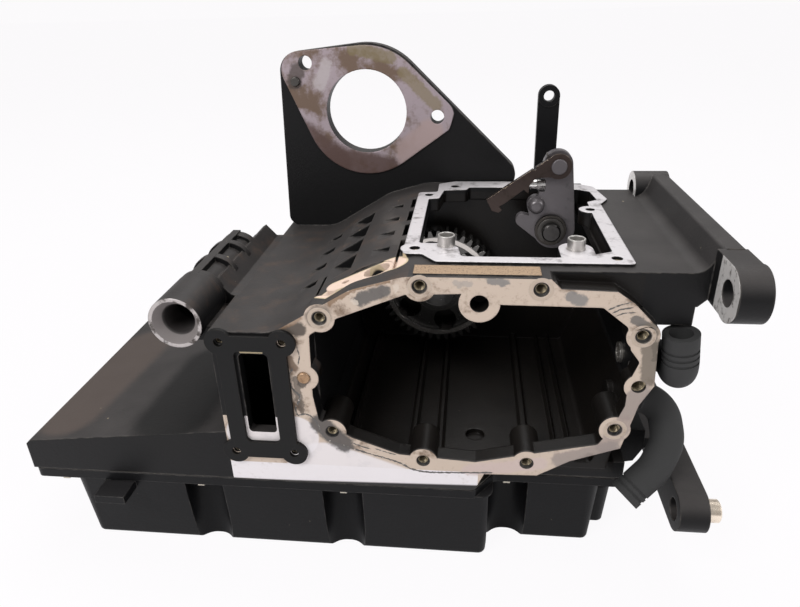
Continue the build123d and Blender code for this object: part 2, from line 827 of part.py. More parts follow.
    # Threaded holes and dowel holes of the side face
    with BuildSketch(side_plane(side_face_y)):
        with Locations(cover_bolts):
            Circle(cover_thread_d / 2)
    extrude(amount=-cover_thread_depth, mode=Mode.SUBTRACT)
    with BuildSketch(side_plane(side_face_y)):
        with Locations(cover_bolts):
            Circle(cover_thread_d / 2 + 1.2)
    extrude(amount=-1.2, mode=Mode.SUBTRACT)
    with BuildSketch(side_plane(side_face_y)):
        with Locations(wide_bolt_place):
            Circle(wide_thread_d / 2)
    extrude(amount=-cover_thread_depth, mode=Mode.SUBTRACT)
    with BuildSketch(side_plane(side_face_y)):
        with Locations(cover_dowel_place):
            Circle(cover_dowel_d / 2)
    extrude(amount=-cover_dowel_depth, mode=Mode.SUBTRACT)
    with BuildSketch(side_plane(side_face_y)):
        with Locations(cover_pin_place):
            Circle(cover_pin_d / 2)
    extrude(amount=-(cover_pin_length - cover_pin_stand), mode=Mode.SUBTRACT)
    with BuildSketch(side_plane(side_face_y)):
        with Locations((spout_x, spout_z)):
            with GridLocations(spout_spacing_x, spout_spacing_z, 2, 2):
                Circle(spout_thread_d / 2)
    extrude(amount=-7.0, mode=Mode.SUBTRACT)

    # Holes of the top land: threads and dowel seats
    with BuildSketch(level(top_gasket_z)):
        with Locations(top_bolts):
            Circle(top_thread_d / 2)
    extrude(amount=-top_thread_depth, mode=Mode.SUBTRACT)
    with BuildSketch(level(top_gasket_z)):
        with Locations(top_dowel_places):
            Circle(top_dowel_seat_d / 2)
    extrude(amount=-top_dowel_seat, mode=Mode.SUBTRACT)

    # Pivot bore with its flared mouth
    with BuildSketch(side_plane(pivot_front_y)):
        with Locations((pivot_x, pivot_z)):
            Circle(pivot_bore_r)
    extrude(amount=-(pivot_back_y - pivot_front_y), mode=Mode.SUBTRACT)
    with BuildSketch(side_plane(pivot_front_y)):
        with Locations((pivot_x, pivot_z)):
            Circle(pivot_mouth_r)
    with BuildSketch(side_plane(pivot_front_y + pivot_mouth_depth)):
        with Locations((pivot_x, pivot_z)):
            Circle(pivot_bore_r)
    loft(mode=Mode.SUBTRACT)

    # Starter pilot, bolt holes and pin hole
    with BuildSketch(side_plane(starter_plate_y - starter_pad_height)):
        with Locations((starter_x, starter_z)):
            Circle(starter_pilot_r)
        with Locations(starter_bolts):
            Circle(starter_bolt_d / 2)
        with Locations(starter_pin_place):
            Circle(starter_pin_d / 2)
    extrude(amount=-(starter_plate_thickness + starter_pad_height), mode=Mode.SUBTRACT)

    # Engine bores
    with BuildSketch(engine_plane(front_boss_face_x)):
        with Locations((front_boss_y, upper_boss_z)):
            Circle(engine_bore_d / 2)
        with Locations((lower_boss_y, lower_boss_z)):
            Circle(engine_bore_d / 2)
    extrude(amount=front_boss_end_x - front_boss_face_x, mode=Mode.SUBTRACT)
    with BuildSketch(engine_plane(back_boss_face_x)):
        with Locations((back_boss_y, back_boss_z)):
            Circle(engine_bore_d / 2)
    extrude(amount=bar_outer_x - back_boss_face_x, mode=Mode.SUBTRACT)
    with BuildSketch(engine_plane(lower_bar_outer_x)):
        with Locations((lower_boss_y, lower_boss_z)):
            Circle(lower_dowel_seat_d / 2)
    extrude(amount=-lower_dowel_depth, mode=Mode.SUBTRACT)

    # Seats in the far wall: main bearing, seal, countershaft bearing, shift bush and seal
    with BuildSketch(side_plane(far_wall_inner_y - 5.0)):
        with Locations((gear_x, gear_z)):
            Circle(main_bearing_od / 2)
    extrude(amount=-(main_bearing_width + snap_ring_thickness + 2.0), mode=Mode.SUBTRACT)
    with BuildSketch(side_plane(far_wall_inner_y)):
        with Locations((gear_x, gear_z)):
            Circle(main_seal_od / 2)
    extrude(amount=-(primary_face_y - far_wall_inner_y), mode=Mode.SUBTRACT)
    with BuildSketch(side_plane(far_wall_inner_y)):
        with Locations((counter_x, counter_z)):
            Circle(counter_bearing_od / 2)
    extrude(amount=-counter_bearing_length, mode=Mode.SUBTRACT)
    with BuildSketch(side_plane(far_wall_inner_y - 4.0)):
        with Locations((shift_x, shift_z)):
            Circle(shift_shaft_d / 2 + running_fit + bush_wall)
    extrude(amount=-(far_wall_y - far_wall_inner_y + 6.0), mode=Mode.SUBTRACT)
    with BuildSketch(side_plane(far_wall_y + 1.0)):
        with Locations((shift_x, shift_z)):
            Circle(shift_seal_od / 2)
    extrude(amount=-(shift_seal_width + 1.0), mode=Mode.SUBTRACT)
    with BuildSketch(side_plane(far_wall_inner_y - 10.0)):
        with Locations((centring_x, centring_z)):
            Circle(centring_screw_d / 2)
    extrude(amount=-20.0, mode=Mode.SUBTRACT)

    # Threads for the pan bolts and bores for the hose nipples
    with BuildSketch(level(case_bottom_z)):
        with Locations(pan_bolts_places):
            Circle(pan_bolt_d / 2)
    extrude(amount=pan_bolt_engagement, mode=Mode.SUBTRACT)
    with BuildSketch(engine_plane(case_side_x)):
        with Locations((upper_hose_y, upper_hose_z), (lower_hose_y, lower_hose_z)):
            Circle(hose_bore_d / 2)
    extrude(amount=-12.0, mode=Mode.SUBTRACT)

    # Cast pockets in the slope: four rows and four columns, with a rail left between them
    for row in range(4):
        for left, right, floor_z, length in pocket_columns:
            with BuildSketch(level(floor_z)):
                with Locations((left, pocket_first_y + row * pocket_pitch_y)):
                    Rectangle(right - left, length, align=(Align.MIN, Align.CENTER))
            extrude(amount=deck_z - floor_z + 1.0, mode=Mode.SUBTRACT)
    for groove_x, groove_y in slope_grooves:
        with BuildSketch(level(min(slope_z(groove_x), deck_z) - groove_depth)):
            with Locations((groove_x, groove_y)):
                Rectangle(groove_width, pocket_first_y - groove_y, align=(Align.MIN, Align.MIN))
        extrude(amount=20.0, mode=Mode.SUBTRACT)
    # Tilted oval boss for the speed sensor, with its bore and screw hole
    with BuildSketch(sensor_plane):
        with Locations(sensor_small_place):
            Circle(sensor_small_r)
        with Locations(sensor_big_place):
            Circle(sensor_big_r)
        make_hull()
    extrude(amount=-14.0)
    with BuildSketch(sensor_plane):
        with Locations(sensor_small_place):
            Circle(sensor_small_r + 0.5)
        with Locations(sensor_big_place):
            Circle(sensor_big_r + 0.5)
        make_hull()
    extrude(amount=14.0, mode=Mode.SUBTRACT)
    with BuildSketch(sensor_plane):
        with Locations(sensor_big_place):
            Circle(sensor_hole_d / 2)
    extrude(amount=-16.0, mode=Mode.SUBTRACT)
    with BuildSketch(sensor_plane):
        with Locations(sensor_screw_place):
            Circle(sensor_screw_d / 2)
    extrude(amount=-10.0, mode=Mode.SUBTRACT)
    # Blind hole in the compartment floor
    with BuildSketch(level(compartment_floor_z)):
        with Locations(floor_drain_place):
            Circle(floor_drain_d / 2)
    extrude(amount=-4.0, mode=Mode.SUBTRACT)

gearbox_case.part.label = "gearbox_case"
export_step(gearbox_case.part, "parts/gearbox_case.step")


# Oil pan: flange, three drafted blocks that stand on the floor, and recesses for its bolts
with BuildPart() as oil_pan:
    for left, right, front_y, foot_z in pan_blocks:
        with BuildSketch(level(pan_depth + 1.0)):
            with Locations((left, pan_block_back_y)):
                Rectangle(right - left, pan_block_back_y - front_y, align=(Align.MIN, Align.MAX))
            fillet(vertices(), 9.0)
        extrude(amount=-(pan_depth + 1.0 - foot_z), taper=block_draft)
    fillet(faces().sort_by(Axis.Z)[0].edges(), pan_foot_r)
    with BuildSketch(level(pan_joint_z)):
        with BuildLine():
            Polyline(
                (pan_left_x, side_face_y),
                (pan_step_x, side_face_y),
                (pan_step_x + pan_step_run, side_face_y + pan_step),
                (pan_right_x, side_face_y + pan_step),
                (pan_right_x, pan_back_y),
                (pan_left_x, pan_back_y),
                close=True,
            )
        make_face()
        fillet(vertices(), 5.0)
    extrude(amount=-pan_flange)
    for flute_x, set_back in flutes:
        with BuildSketch(level(pan_depth)):
            with Locations((flute_x, flute_back_y + set_back)):
                Rectangle(flute_width, 50.0, align=(Align.CENTER, Align.MAX))
            fillet(vertices().sort_by(Axis.Y)[-2:], flute_width / 2 - 1.0)
        extrude(amount=pan_depth + 1.0, dir=(0, -flute_lean, -pan_depth), mode=Mode.SUBTRACT)
    # Lug on the front wall
    with BuildSketch(level(pan_depth - 1.0)):
        with Locations((lug_x, side_face_y - lug_reach)):
            Rectangle(lug_width, lug_reach + 12.0, align=(Align.CENTER, Align.MIN))
    extrude(amount=-lug_height)
    # Inside: one tray behind the recesses, and a bay in each block between them
    with BuildSketch(level(pan_wall + 2.0)):
        with Locations((-168.0 + pan_wall, flute_back_y + 6.0)):
            Rectangle(286.0, 136.0, align=(Align.MIN, Align.MIN))
        with Locations((110.0, -54.0)):
            Rectangle(80.0, 112.0, align=(Align.MIN, Align.MIN))
        fillet(vertices(), 6.0)
        for left, right in ((-160.0, -100.0), (-56.0, 0.0), (42.0, 116.0)):
            with Locations((left, -96.0)):
                Rectangle(right - left, 30.0, align=(Align.MIN, Align.MIN))
    extrude(amount=pan_joint_z, mode=Mode.SUBTRACT)
    with BuildSketch(level(pan_joint_z)):
        with Locations(pan_bolts_places):
            Circle(pan_bolt_d / 2 + 0.3)
    extrude(amount=-pan_flange, mode=Mode.SUBTRACT)
    # Room for the head of the corner bolt
    with BuildSketch(level(pan_depth)):
        with Locations(front_pan_bolts[4]):
            Circle(bolt_pocket_r)
    extrude(amount=-bolt_pocket_depth, mode=Mode.SUBTRACT)
    # Recess of the drain plug in the underside, and its thread
    with BuildSketch(level(0.0)):
        with Locations(drain_place):
            Circle(drain_recess_r + pan_wall)
    extrude(amount=drain_recess_depth + pan_wall)
    with BuildSketch(level(0.0)):
        with Locations(drain_place):
            Circle(drain_recess_r)
    extrude(amount=drain_recess_depth, mode=Mode.SUBTRACT)
    with BuildSketch(level(drain_recess_depth)):
        with Locations(drain_place):
            Circle(drain_thread_d / 2)
    extrude(amount=pan_wall, mode=Mode.SUBTRACT)

oil_pan.part.label = "oil_pan"
export_step(oil_pan.part, "parts/oil_pan.step")

# Gasket between the pan and the housing
with BuildPart() as pan_gasket:
    with BuildSketch(level(pan_joint_z)):
        with BuildLine():
            Polyline(
                (pan_left_x + 0.5, side_face_y + 0.5),
                (pan_step_x - 0.5, side_face_y + 0.5),
                (pan_step_x + pan_step_run - 0.5, side_face_y + pan_step + 0.5),
                (pan_right_x - 0.5, side_face_y + pan_step + 0.5),
                (pan_right_x - 0.5, pan_back_y - 0.5),
                (pan_left_x + 0.5, pan_back_y - 0.5),
                close=True,
            )
        make_face()
        fillet(vertices(), 5.0)
        with Locations((-82.0, -9.0)):
            RectangleRounded(168.0, 146.0, 8.0, mode=Mode.SUBTRACT)
        with Locations(pan_bolts_places):
            Circle(pan_bolt_d / 2 + 0.3, mode=Mode.SUBTRACT)
    extrude(amount=pan_gasket_thickness)

pan_gasket.part.label = "pan_gasket"
export_step(pan_gasket.part, "parts/pan_gasket.step")

# Flanged hexagon bolts that hold the pan
with BuildPart() as pan_bolts:
    with BuildSketch(level(pan_depth)):
        with Locations(pan_bolts_places):
            Circle(pan_bolt_washer_r)
    extrude(amount=-1.2)
    with BuildSketch(level(pan_depth - 1.2)):
        with Locations(pan_bolts_places):
            RegularPolygon(pan_bolt_head_r, 6)
    extrude(amount=-pan_bolt_head_height)
    with BuildSketch(level(pan_depth)):
        with Locations(pan_bolts_places):
            Circle(pan_bolt_d / 2 - running_fit)
    extrude(amount=pan_flange + pan_gasket_thickness + pan_bolt_engagement - 1.0)

pan_bolts.part.label = "pan_bolts"
export_step(pan_bolts.part, "parts/pan_bolts.step")

# Drain plug under the tray
with BuildPart() as drain_plug:
    with BuildSketch(level(drain_recess_depth)):
        with Locations(drain_place):
            Circle(drain_head_r + 1.5)
    extrude(amount=-1.5)
    with BuildSketch(level(drain_recess_depth - 1.5)):
        with Locations(drain_place):
            RegularPolygon(drain_head_r, 6)
    extrude(amount=-drain_head_height)
    with BuildSketch(level(drain_recess_depth)):
        with Locations(drain_place):
            Circle(drain_thread_d / 2 - running_fit)
    extrude(amount=pan_wall + 2.0)

drain_plug.part.label = "drain_plug"
export_step(drain_plug.part, "parts/drain_plug.step")

# Rubber frame gasket on the spout face
with BuildPart() as spout_gasket:
    with BuildSketch(side_plane(side_face_y)):
        with Locations((spout_x, spout_z)):
            Rectangle(spout_spacing_x + 5.0, spout_spacing_z + spout_ear_r)
            with GridLocations(spout_spacing_x, spout_spacing_z, 2, 2):
                Circle(spout_ear_r)
        with Locations((spout_x, spout_z + 1.0)):
            RectangleRounded(spout_slot_width + 4.0, spout_slot_height + 10.0, 4.0, mode=Mode.SUBTRACT)
        with Locations((spout_x, spout_z)):
            with GridLocations(spout_spacing_x, spout_spacing_z, 2, 2):
                Circle(spout_thread_d / 2 + 0.5, mode=Mode.SUBTRACT)
    extrude(amount=spout_gasket_thickness)

spout_gasket.part.label = "spout_gasket"
export_step(spout_gasket.part, "parts/spout_gasket.step")

# Hollow dowels that locate the top cover
with BuildPart() as top_dowels:
    with BuildSketch(level(top_gasket_z - top_dowel_seat)):
        with Locations(top_dowel_places):
            Circle(top_dowel_seat_d / 2)
    extrude(amount=top_dowel_seat + top_dowel_shoulder)
    with BuildSketch(level(top_gasket_z)):
        with Locations(top_dowel_places):
            Circle(top_dowel_d / 2)
    extrude(amount=top_dowel_stand)
    with BuildSketch(level(top_gasket_z - top_dowel_seat)):
        with Locations(top_dowel_places):
            Circle(top_dowel_bore_d / 2)
    extrude(amount=top_dowel_seat + top_dowel_stand, mode=Mode.SUBTRACT)
    chamfer(faces().sort_by(Axis.Z)[-2:].edges().filter_by(GeomType.CIRCLE), 0.4)

top_dowels.part.label = "top_dowels"
export_step(top_dowels.part, "parts/top_dowels.step")

# Dowel pin left in the side face
with BuildPart() as cover_pin:
    with BuildSketch(side_plane(side_face_y - cover_pin_stand)):
        with Locations(cover_pin_place):
            Circle(cover_pin_d / 2)
    extrude(amount=-cover_pin_length)
    chamfer(faces().sort_by(Axis.Y)[0].edges(), 0.8)

cover_pin.part.label = "cover_pin"
export_step(cover_pin.part, "parts/cover_pin.step")

# Headed pin beside the starter bolt hole
with BuildPart() as starter_pin:
    with BuildSketch(side_plane(starter_plate_y - starter_pad_height)):
        with Locations(starter_pin_place):
            Circle(starter_pin_head_d / 2)
    extrude(amount=3.0)
    fillet(faces().sort_by(Axis.Y)[0].edges(), 1.0)
    with BuildSketch(side_plane(starter_plate_y - starter_pad_height)):
        with Locations(starter_pin_place):
            Circle(starter_pin_d / 2)
    extrude(amount=-starter_plate_thickness)

starter_pin.part.label = "starter_pin"
export_step(starter_pin.part, "parts/starter_pin.step")

# Locating dowel in the lower engine boss
with BuildPart() as engine_dowel:
    with BuildSketch(engine_plane(lower_bar_outer_x - lower_dowel_depth)):
        with Locations((lower_boss_y, lower_boss_z)):
            Circle(lower_dowel_seat_d / 2)
    extrude(amount=lower_dowel_depth + lower_dowel_shoulder)
    with BuildSketch(engine_plane(lower_bar_outer_x)):
        with Locations((lower_boss_y, lower_boss_z)):
            Circle(lower_dowel_d / 2)
    extrude(amount=lower_dowel_stand)
    with BuildSketch(engine_plane(lower_bar_outer_x - lower_dowel_depth)):
        with Locations((lower_boss_y, lower_boss_z)):
            Circle(lower_dowel_bore_d / 2)
    extrude(amount=lower_dowel_depth + lower_dowel_stand, mode=Mode.SUBTRACT)
    chamfer(faces().sort_by(Axis.X)[-1].edges(), 0.8)

engine_dowel.part.label = "engine_dowel"
export_step(engine_dowel.part, "parts/engine_dowel.step")

# Main drive gear: toothed rim, web with round windows, hub and output sleeve
with BuildPart() as main_drive_gear:
    with BuildSketch(side_plane(gear_front_y)):
        with Locations((gear_x, gear_z)):
            Circle(gear_root_r)
            with PolarLocations(gear_root_r - 0.5, gear_teeth):
                Polygon(
                    (0.0, -gear_tooth_root / 2),
                    (gear_tooth_height * 0.55, -gear_tooth_pitch_width / 2),
                    (gear_tooth_height, -gear_tooth_tip / 2),
                    (gear_tooth_height, gear_tooth_tip / 2),
                    (gear_tooth_height * 0.55, gear_tooth_pitch_width / 2),
                    (0.0, gear_tooth_root / 2),
                    align=None,
                )
    extrude(amount=-gear_width)
    for face_y, direction in ((gear_front_y, -1), (gear_front_y + gear_width, 1)):
        with BuildSketch(side_plane(face_y)):
            with Locations((gear_x, gear_z)):
                Circle(gear_root_r - gear_rim)
                Circle(gear_hub_r + 3.0, mode=Mode.SUBTRACT)
        extrude(amount=direction * (gear_width - gear_web) / 2, mode=Mode.SUBTRACT)
    with BuildSketch(side_plane(gear_front_y)):
        with Locations((gear_x, gear_z)):
            with PolarLocations(gear_window_circle_r, gear_windows, start_angle=-80.0):
                Circle(gear_window_r)
    extrude(amount=-gear_width, mode=Mode.SUBTRACT)
    with BuildSketch(side_plane(gear_front_y - 4.0)):
        with Locations((gear_x, gear_z)):
            Circle(gear_hub_r)
    extrude(amount=-(gear_sleeve_end_y - gear_front_y + 4.0))
    with BuildSketch(side_plane(gear_front_y - 4.0)):
        with Locations((gear_x, gear_z)):
            Circle(gear_bore_r)
    extrude(amount=-(gear_sleeve_end_y - gear_front_y + 4.0), mode=Mode.SUBTRACT)

main_drive_gear.part.label = "main_drive_gear"
export_step(main_drive_gear.part, "parts/main_drive_gear.step")

# Ball bearing that carries the main drive gear, with grooves for its seals
with BuildPart() as main_bearing:
    with BuildSketch(side_plane(far_wall_inner_y - 5.0)):
        with Locations((gear_x, gear_z)):
            Circle(main_bearing_od / 2 - running_fit)
            Circle(gear_hub_r + running_fit, mode=Mode.SUBTRACT)
    extrude(amount=-main_bearing_width)
    with BuildSketch(side_plane(far_wall_inner_y - 5.0)):
        with Locations((gear_x, gear_z)):
            Circle(main_bearing_od / 2 - 4.0)
            Circle(gear_hub_r + 4.0, mode=Mode.SUBTRACT)
    extrude(amount=-1.5, mode=Mode.SUBTRACT)

main_bearing.part.label = "main_bearing"
export_step(main_bearing.part, "parts/main_bearing.step")

# Snap ring that keeps the main bearing in its seat
with BuildPart() as bearing_snap_ring:
    with BuildSketch(side_plane(far_wall_inner_y - 5.0 + main_bearing_width)):
        with Locations((gear_x, gear_z)):
            Circle(main_bearing_od / 2 - running_fit)
            Circle(main_bearing_od / 2 - 4.0, mode=Mode.SUBTRACT)
        with Locations((gear_x, gear_z + main_bearing_od / 2)):
            Rectangle(10.0, 12.0, mode=Mode.SUBTRACT)
    extrude(amount=-snap_ring_thickness)

bearing_snap_ring.part.label = "bearing_snap_ring"
export_step(bearing_snap_ring.part, "parts/bearing_snap_ring.step")

# Lip seal outside the main bearing
with BuildPart() as main_seal:
    with BuildSketch(side_plane(primary_face_y - main_seal_width - 1.0)):
        with Locations((gear_x, gear_z)):
            Circle(main_seal_od / 2)
            Circle(gear_hub_r + running_fit, mode=Mode.SUBTRACT)
    extrude(amount=-main_seal_width)
    with BuildSketch(side_plane(primary_face_y - 1.0)):
        with Locations((gear_x, gear_z)):
            Circle(main_seal_od / 2 - 2.5)
            Circle(gear_hub_r + 2.0, mode=Mode.SUBTRACT)
    extrude(amount=main_seal_width - 3.0, mode=Mode.SUBTRACT)

main_seal.part.label = "main_seal"
export_step(main_seal.part, "parts/main_seal.step")

# Drawn-cup bearing for the countershaft
with BuildPart() as counter_bearing:
    with BuildSketch(side_plane(far_wall_inner_y)):
        with Locations((counter_x, counter_z)):
            Circle(counter_bearing_od / 2)
            Circle(counter_bearing_id / 2, mode=Mode.SUBTRACT)
    extrude(amount=-counter_bearing_length)

counter_bearing.part.label = "counter_bearing"
export_step(counter_bearing.part, "parts/counter_bearing.step")

# Bush and seal of the shift shaft
with BuildPart() as shift_bush:
    with BuildSketch(side_plane(far_wall_inner_y - 4.0)):
        with Locations((shift_x, shift_z)):
            Circle(shift_shaft_d / 2 + running_fit + bush_wall)
            Circle(shift_shaft_d / 2 + running_fit, mode=Mode.SUBTRACT)
    extrude(amount=-(far_wall_y - far_wall_inner_y + 5.0))

shift_bush.part.label = "shift_bush"
export_step(shift_bush.part, "parts/shift_bush.step")

with BuildPart() as shift_seal:
    with BuildSketch(side_plane(far_wall_y + 2.0)):
        with Locations((shift_x, shift_z)):
            Circle(shift_seal_od / 2)
            Circle(shift_shaft_d / 2 + running_fit, mode=Mode.SUBTRACT)
    extrude(amount=-shift_seal_width)

shift_seal.part.label = "shift_seal"
export_step(shift_seal.part, "parts/shift_seal.step")

# Shift shaft, grooved for its clip
with BuildPart() as shift_shaft:
    with BuildSketch(side_plane(shift_shaft_front_y)):
        with Locations((shift_x, shift_z)):
            Circle(shift_shaft_d / 2)
    extrude(amount=-(shift_shaft_back_y - shift_shaft_front_y))
    chamfer(edges().group_by(Axis.Y)[0], 1.0)
    with BuildSketch(side_plane(carrier_y - 4.0 - clip_thickness)):
        with Locations((shift_x, shift_z)):
            Circle(shift_shaft_d / 2 + 1.0)
            Circle(shift_shaft_d / 2 - 1.0, mode=Mode.SUBTRACT)
    extrude(amount=-clip_thickness, mode=Mode.SUBTRACT)

shift_shaft.part.label = "shift_shaft"
export_step(shift_shaft.part, "parts/shift_shaft.step")

# Clip and washer in front of the carrier
with BuildPart() as shaft_clip:
    with BuildSketch(side_plane(carrier_y - 4.0 - clip_thickness + 0.1)):
        with Locations((shift_x, shift_z)):
            Circle(shift_shaft_d / 2 + 3.0)
            Circle(shift_shaft_d / 2 - 0.95, mode=Mode.SUBTRACT)
        with Locations((shift_x, shift_z - shift_shaft_d / 2)):
            Rectangle(shift_shaft_d - 5.0, 9.0, mode=Mode.SUBTRACT)
    extrude(amount=-(clip_thickness - 0.2))

shaft_clip.part.label = "shaft_clip"
export_step(shaft_clip.part, "parts/shaft_clip.step")

with BuildPart() as shaft_washer:
    with BuildSketch(side_plane(carrier_y - 4.0)):
        with Locations((shift_x, shift_z)):
            Circle(shift_shaft_d / 2 + 5.0)
            Circle(shift_shaft_d / 2 + running_fit, mode=Mode.SUBTRACT)
    extrude(amount=-3.9)

shaft_washer.part.label = "shaft_washer"
export_step(shaft_washer.part, "parts/shaft_washer.step")

# Carrier: hub on the shaft, arm up to the pawl and two short arms to the left
with BuildPart() as pawl_carrier:
    with BuildSketch(side_plane(carrier_y)):
        with BuildSketch():
            with Locations((pawl_pin_x, pawl_pin_z)):
                Circle(pawl_eye_r + 1.5)
            with Locations((shift_x + 3.0, shift_z)):
                Circle(carrier_hub_r + 3.0)
            make_hull()
        with BuildSketch():
            with Locations((shift_x, shift_z)):
                Circle(carrier_hub_r)
            with Locations(stop_post_place):
                Circle(7.0)
            make_hull()
        with BuildSketch():
            with Locations((shift_x, shift_z - 4.0)):
                Circle(carrier_hub_r - 3.0)
            with Locations((146.0, 203.0)):
                Circle(5.0)
            make_hull()
        with Locations((shift_x, shift_z)):
            Circle(shift_shaft_d / 2 + running_fit, mode=Mode.SUBTRACT)
        with Locations((pawl_pin_x, pawl_pin_z)):
            Circle(pawl_pin_d / 2, mode=Mode.SUBTRACT)
        with Locations((stop_screw_end_x, stop_screw_z)):
            Rectangle(12.0, 10.0, align=(Align.MAX, Align.CENTER), mode=Mode.SUBTRACT)
    extrude(amount=-carrier_thickness)
    with BuildSketch(side_plane(carrier_y + carrier_thickness)):
        with Locations((shift_x, shift_z)):
            Circle(carrier_hub_r - 3.5)
            Circle(shift_shaft_d / 2 + running_fit, mode=Mode.SUBTRACT)
    extrude(amount=-carrier_hub_length)
    # Domed stop post that the spring legs bear on
    with BuildSketch(side_plane(carrier_y)):
        with Locations(stop_post_place):
            Circle(6.5)
    extrude(amount=7.0, taper=8.0)
    fillet(faces().sort_by(Axis.Y)[0].edges(), 3.5)

pawl_carrier.part.label = "pawl_carrier"
export_step(pawl_carrier.part, "parts/pawl_carrier.step")

# Bright stop screw in the left edge of the carrier
with BuildPart() as stop_screw:
    with BuildSketch(engine_plane(150.0)):
        with Locations((carrier_y + carrier_thickness / 2, stop_screw_z)):
            Circle(3.6)
    extrude(amount=5.5)
    with BuildSketch(engine_plane(155.5)):
        with Locations((carrier_y + carrier_thickness / 2, stop_screw_z)):
            RegularPolygon(4.2, 6)
    extrude(amount=stop_screw_end_x - 155.5)

stop_screw.part.label = "stop_screw"
export_step(stop_screw.part, "parts/stop_screw.step")

# Ratchet pawl: round eye, straight arm, notch and hook
with BuildPart() as shift_pawl:
    with BuildSketch(side_plane(pawl_y)):
        with Locations((pawl_pin_x, pawl_pin_z)):
            Polygon(
                (-4.6, 8.2),
                (-53.0, -25.5),
                (-50.5, -30.5),
                (-48.5, -34.5),
                (-43.5, -36.0),
                (-41.0, -34.0),
                (-43.0, -31.0),
                (-39.0, -28.5),
                (-25.0, -17.5),
                (-21.5, -20.5),
                (-21.0, -14.0),
                (-16.0, -8.5),
                (-5.0, -8.0),
                (0.0, 0.0),
                align=None,
            )
            Circle(pawl_eye_r)
            Circle(pawl_pin_d / 2 + running_fit, mode=Mode.SUBTRACT)
        with Locations((pawl_pin_x - 18.0, pawl_pin_z - 1.5)):
            Circle(1.2, mode=Mode.SUBTRACT)
    extrude(amount=-pawl_thickness)

shift_pawl.part.label = "shift_pawl"
export_step(shift_pawl.part, "parts/shift_pawl.step")

# Riveted pin of the pawl
with BuildPart() as pawl_pin:
    with BuildSketch(side_plane(pawl_y - pawl_pin_head_gap)):
        with Locations((pawl_pin_x, pawl_pin_z)):
            Circle(pawl_pin_head_r)
    extrude(amount=pawl_pin_head_height)
    fillet(faces().sort_by(Axis.Y)[0].edges(), 0.7)
    with BuildSketch(side_plane(pawl_y - pawl_pin_head_gap)):
        with Locations((pawl_pin_x, pawl_pin_z)):
            Circle(pawl_pin_d / 2)
    extrude(amount=-(carrier_y + carrier_thickness - pawl_y + pawl_pin_head_gap))
    with BuildSketch(side_plane(carrier_y + carrier_thickness)):
        with Locations((pawl_pin_x, pawl_pin_z)):
            Circle(pawl_pin_head_r)
    extrude(amount=-pawl_pin_head_height)

pawl_pin.part.label = "pawl_pin"
export_step(pawl_pin.part, "parts/pawl_pin.step")

# Outer shift lever: split hub, flat arm and a thicker eye
with BuildPart() as outer_shift_lever:
    with BuildSketch(side_plane(lever_y)):
        with BuildSketch():
            with Locations((shift_x, shift_z)):
                Circle(lever_hub_r)
            with Locations((shift_x - 0.5, shift_z + 24.0)):
                Circle(lever_eye_r)
            make_hull()
        with BuildSketch():
            with Locations((shift_x - 0.5, shift_z + 24.0), (shift_x - 1.0, shift_z + lever_length)):
                Circle(lever_eye_r)
            make_hull()
        with Locations((shift_x, shift_z - lever_hub_r)):
            Rectangle(20.0, 16.0)
    extrude(amount=-lever_thickness)
    with BuildSketch(side_plane(lever_y + lever_thickness)):
        with Locations((shift_x - 1.0, shift_z + lever_length)):
            Circle(lever_eye_r)
    extrude(amount=lever_thickness + 1.2)
    with BuildSketch(side_plane(lever_y - 2.0)):
        with Locations((shift_x, shift_z)):
            Circle(shift_shaft_d / 2 + running_fit)
        with Locations((shift_x - 1.0, shift_z + lever_length)):
            Circle(lever_eye_d / 2)
        with Locations((shift_x, shift_z - lever_hub_r)):
            Rectangle(2.0, 22.0)
    extrude(amount=-(lever_thickness + 4.0), mode=Mode.SUBTRACT)
    with BuildSketch(engine_plane(shift_x - 12.0)):
        with Locations((lever_y + lever_thickness / 2, shift_z - lever_hub_r - 3.0)):
            Circle(clamp_bolt_d / 2 + running_fit)
    extrude(amount=24.0, mode=Mode.SUBTRACT)

outer_shift_lever.part.label = "outer_shift_lever"
export_step(outer_shift_lever.part, "parts/outer_shift_lever.step")

# Pinch bolt of the lever
with BuildPart() as lever_clamp_bolt:
    with BuildSketch(engine_plane(shift_x + 10.0)):
        with Locations((lever_y + lever_thickness / 2, shift_z - lever_hub_r - 3.0)):
            RegularPolygon(4.0, 6)
    extrude(amount=3.5)
    with BuildSketch(engine_plane(shift_x - 11.0)):
        with Locations((lever_y + lever_thickness / 2, shift_z - lever_hub_r - 3.0)):
            Circle(clamp_bolt_d / 2)
    extrude(amount=21.0)

lever_clamp_bolt.part.label = "lever_clamp_bolt"
export_step(lever_clamp_bolt.part, "parts/lever_clamp_bolt.step")

# Centring screw and its locknut, fixed in the far wall
with BuildPart() as centring_screw:
    with BuildSketch(side_plane(centring_tip_y)):
        with Locations((centring_x, centring_z)):
            Circle(centring_screw_d / 2)
    extrude(amount=-(far_wall_inner_y + 9.0 - centring_tip_y))
    chamfer(edges().group_by(Axis.Y)[0], 1.0)

centring_screw.part.label = "centring_screw"
export_step(centring_screw.part, "parts/centring_screw.step")

with BuildPart() as centring_locknut:
    with BuildSketch(side_plane(far_wall_inner_y - centring_boss_height)):
        with Locations((centring_x, centring_z)):
            RegularPolygon(6.8, 6)
            Circle(centring_screw_d / 2, mode=Mode.SUBTRACT)
    extrude(amount=4.0)

centring_locknut.part.label = "centring_locknut"
export_step(centring_locknut.part, "parts/centring_locknut.step")

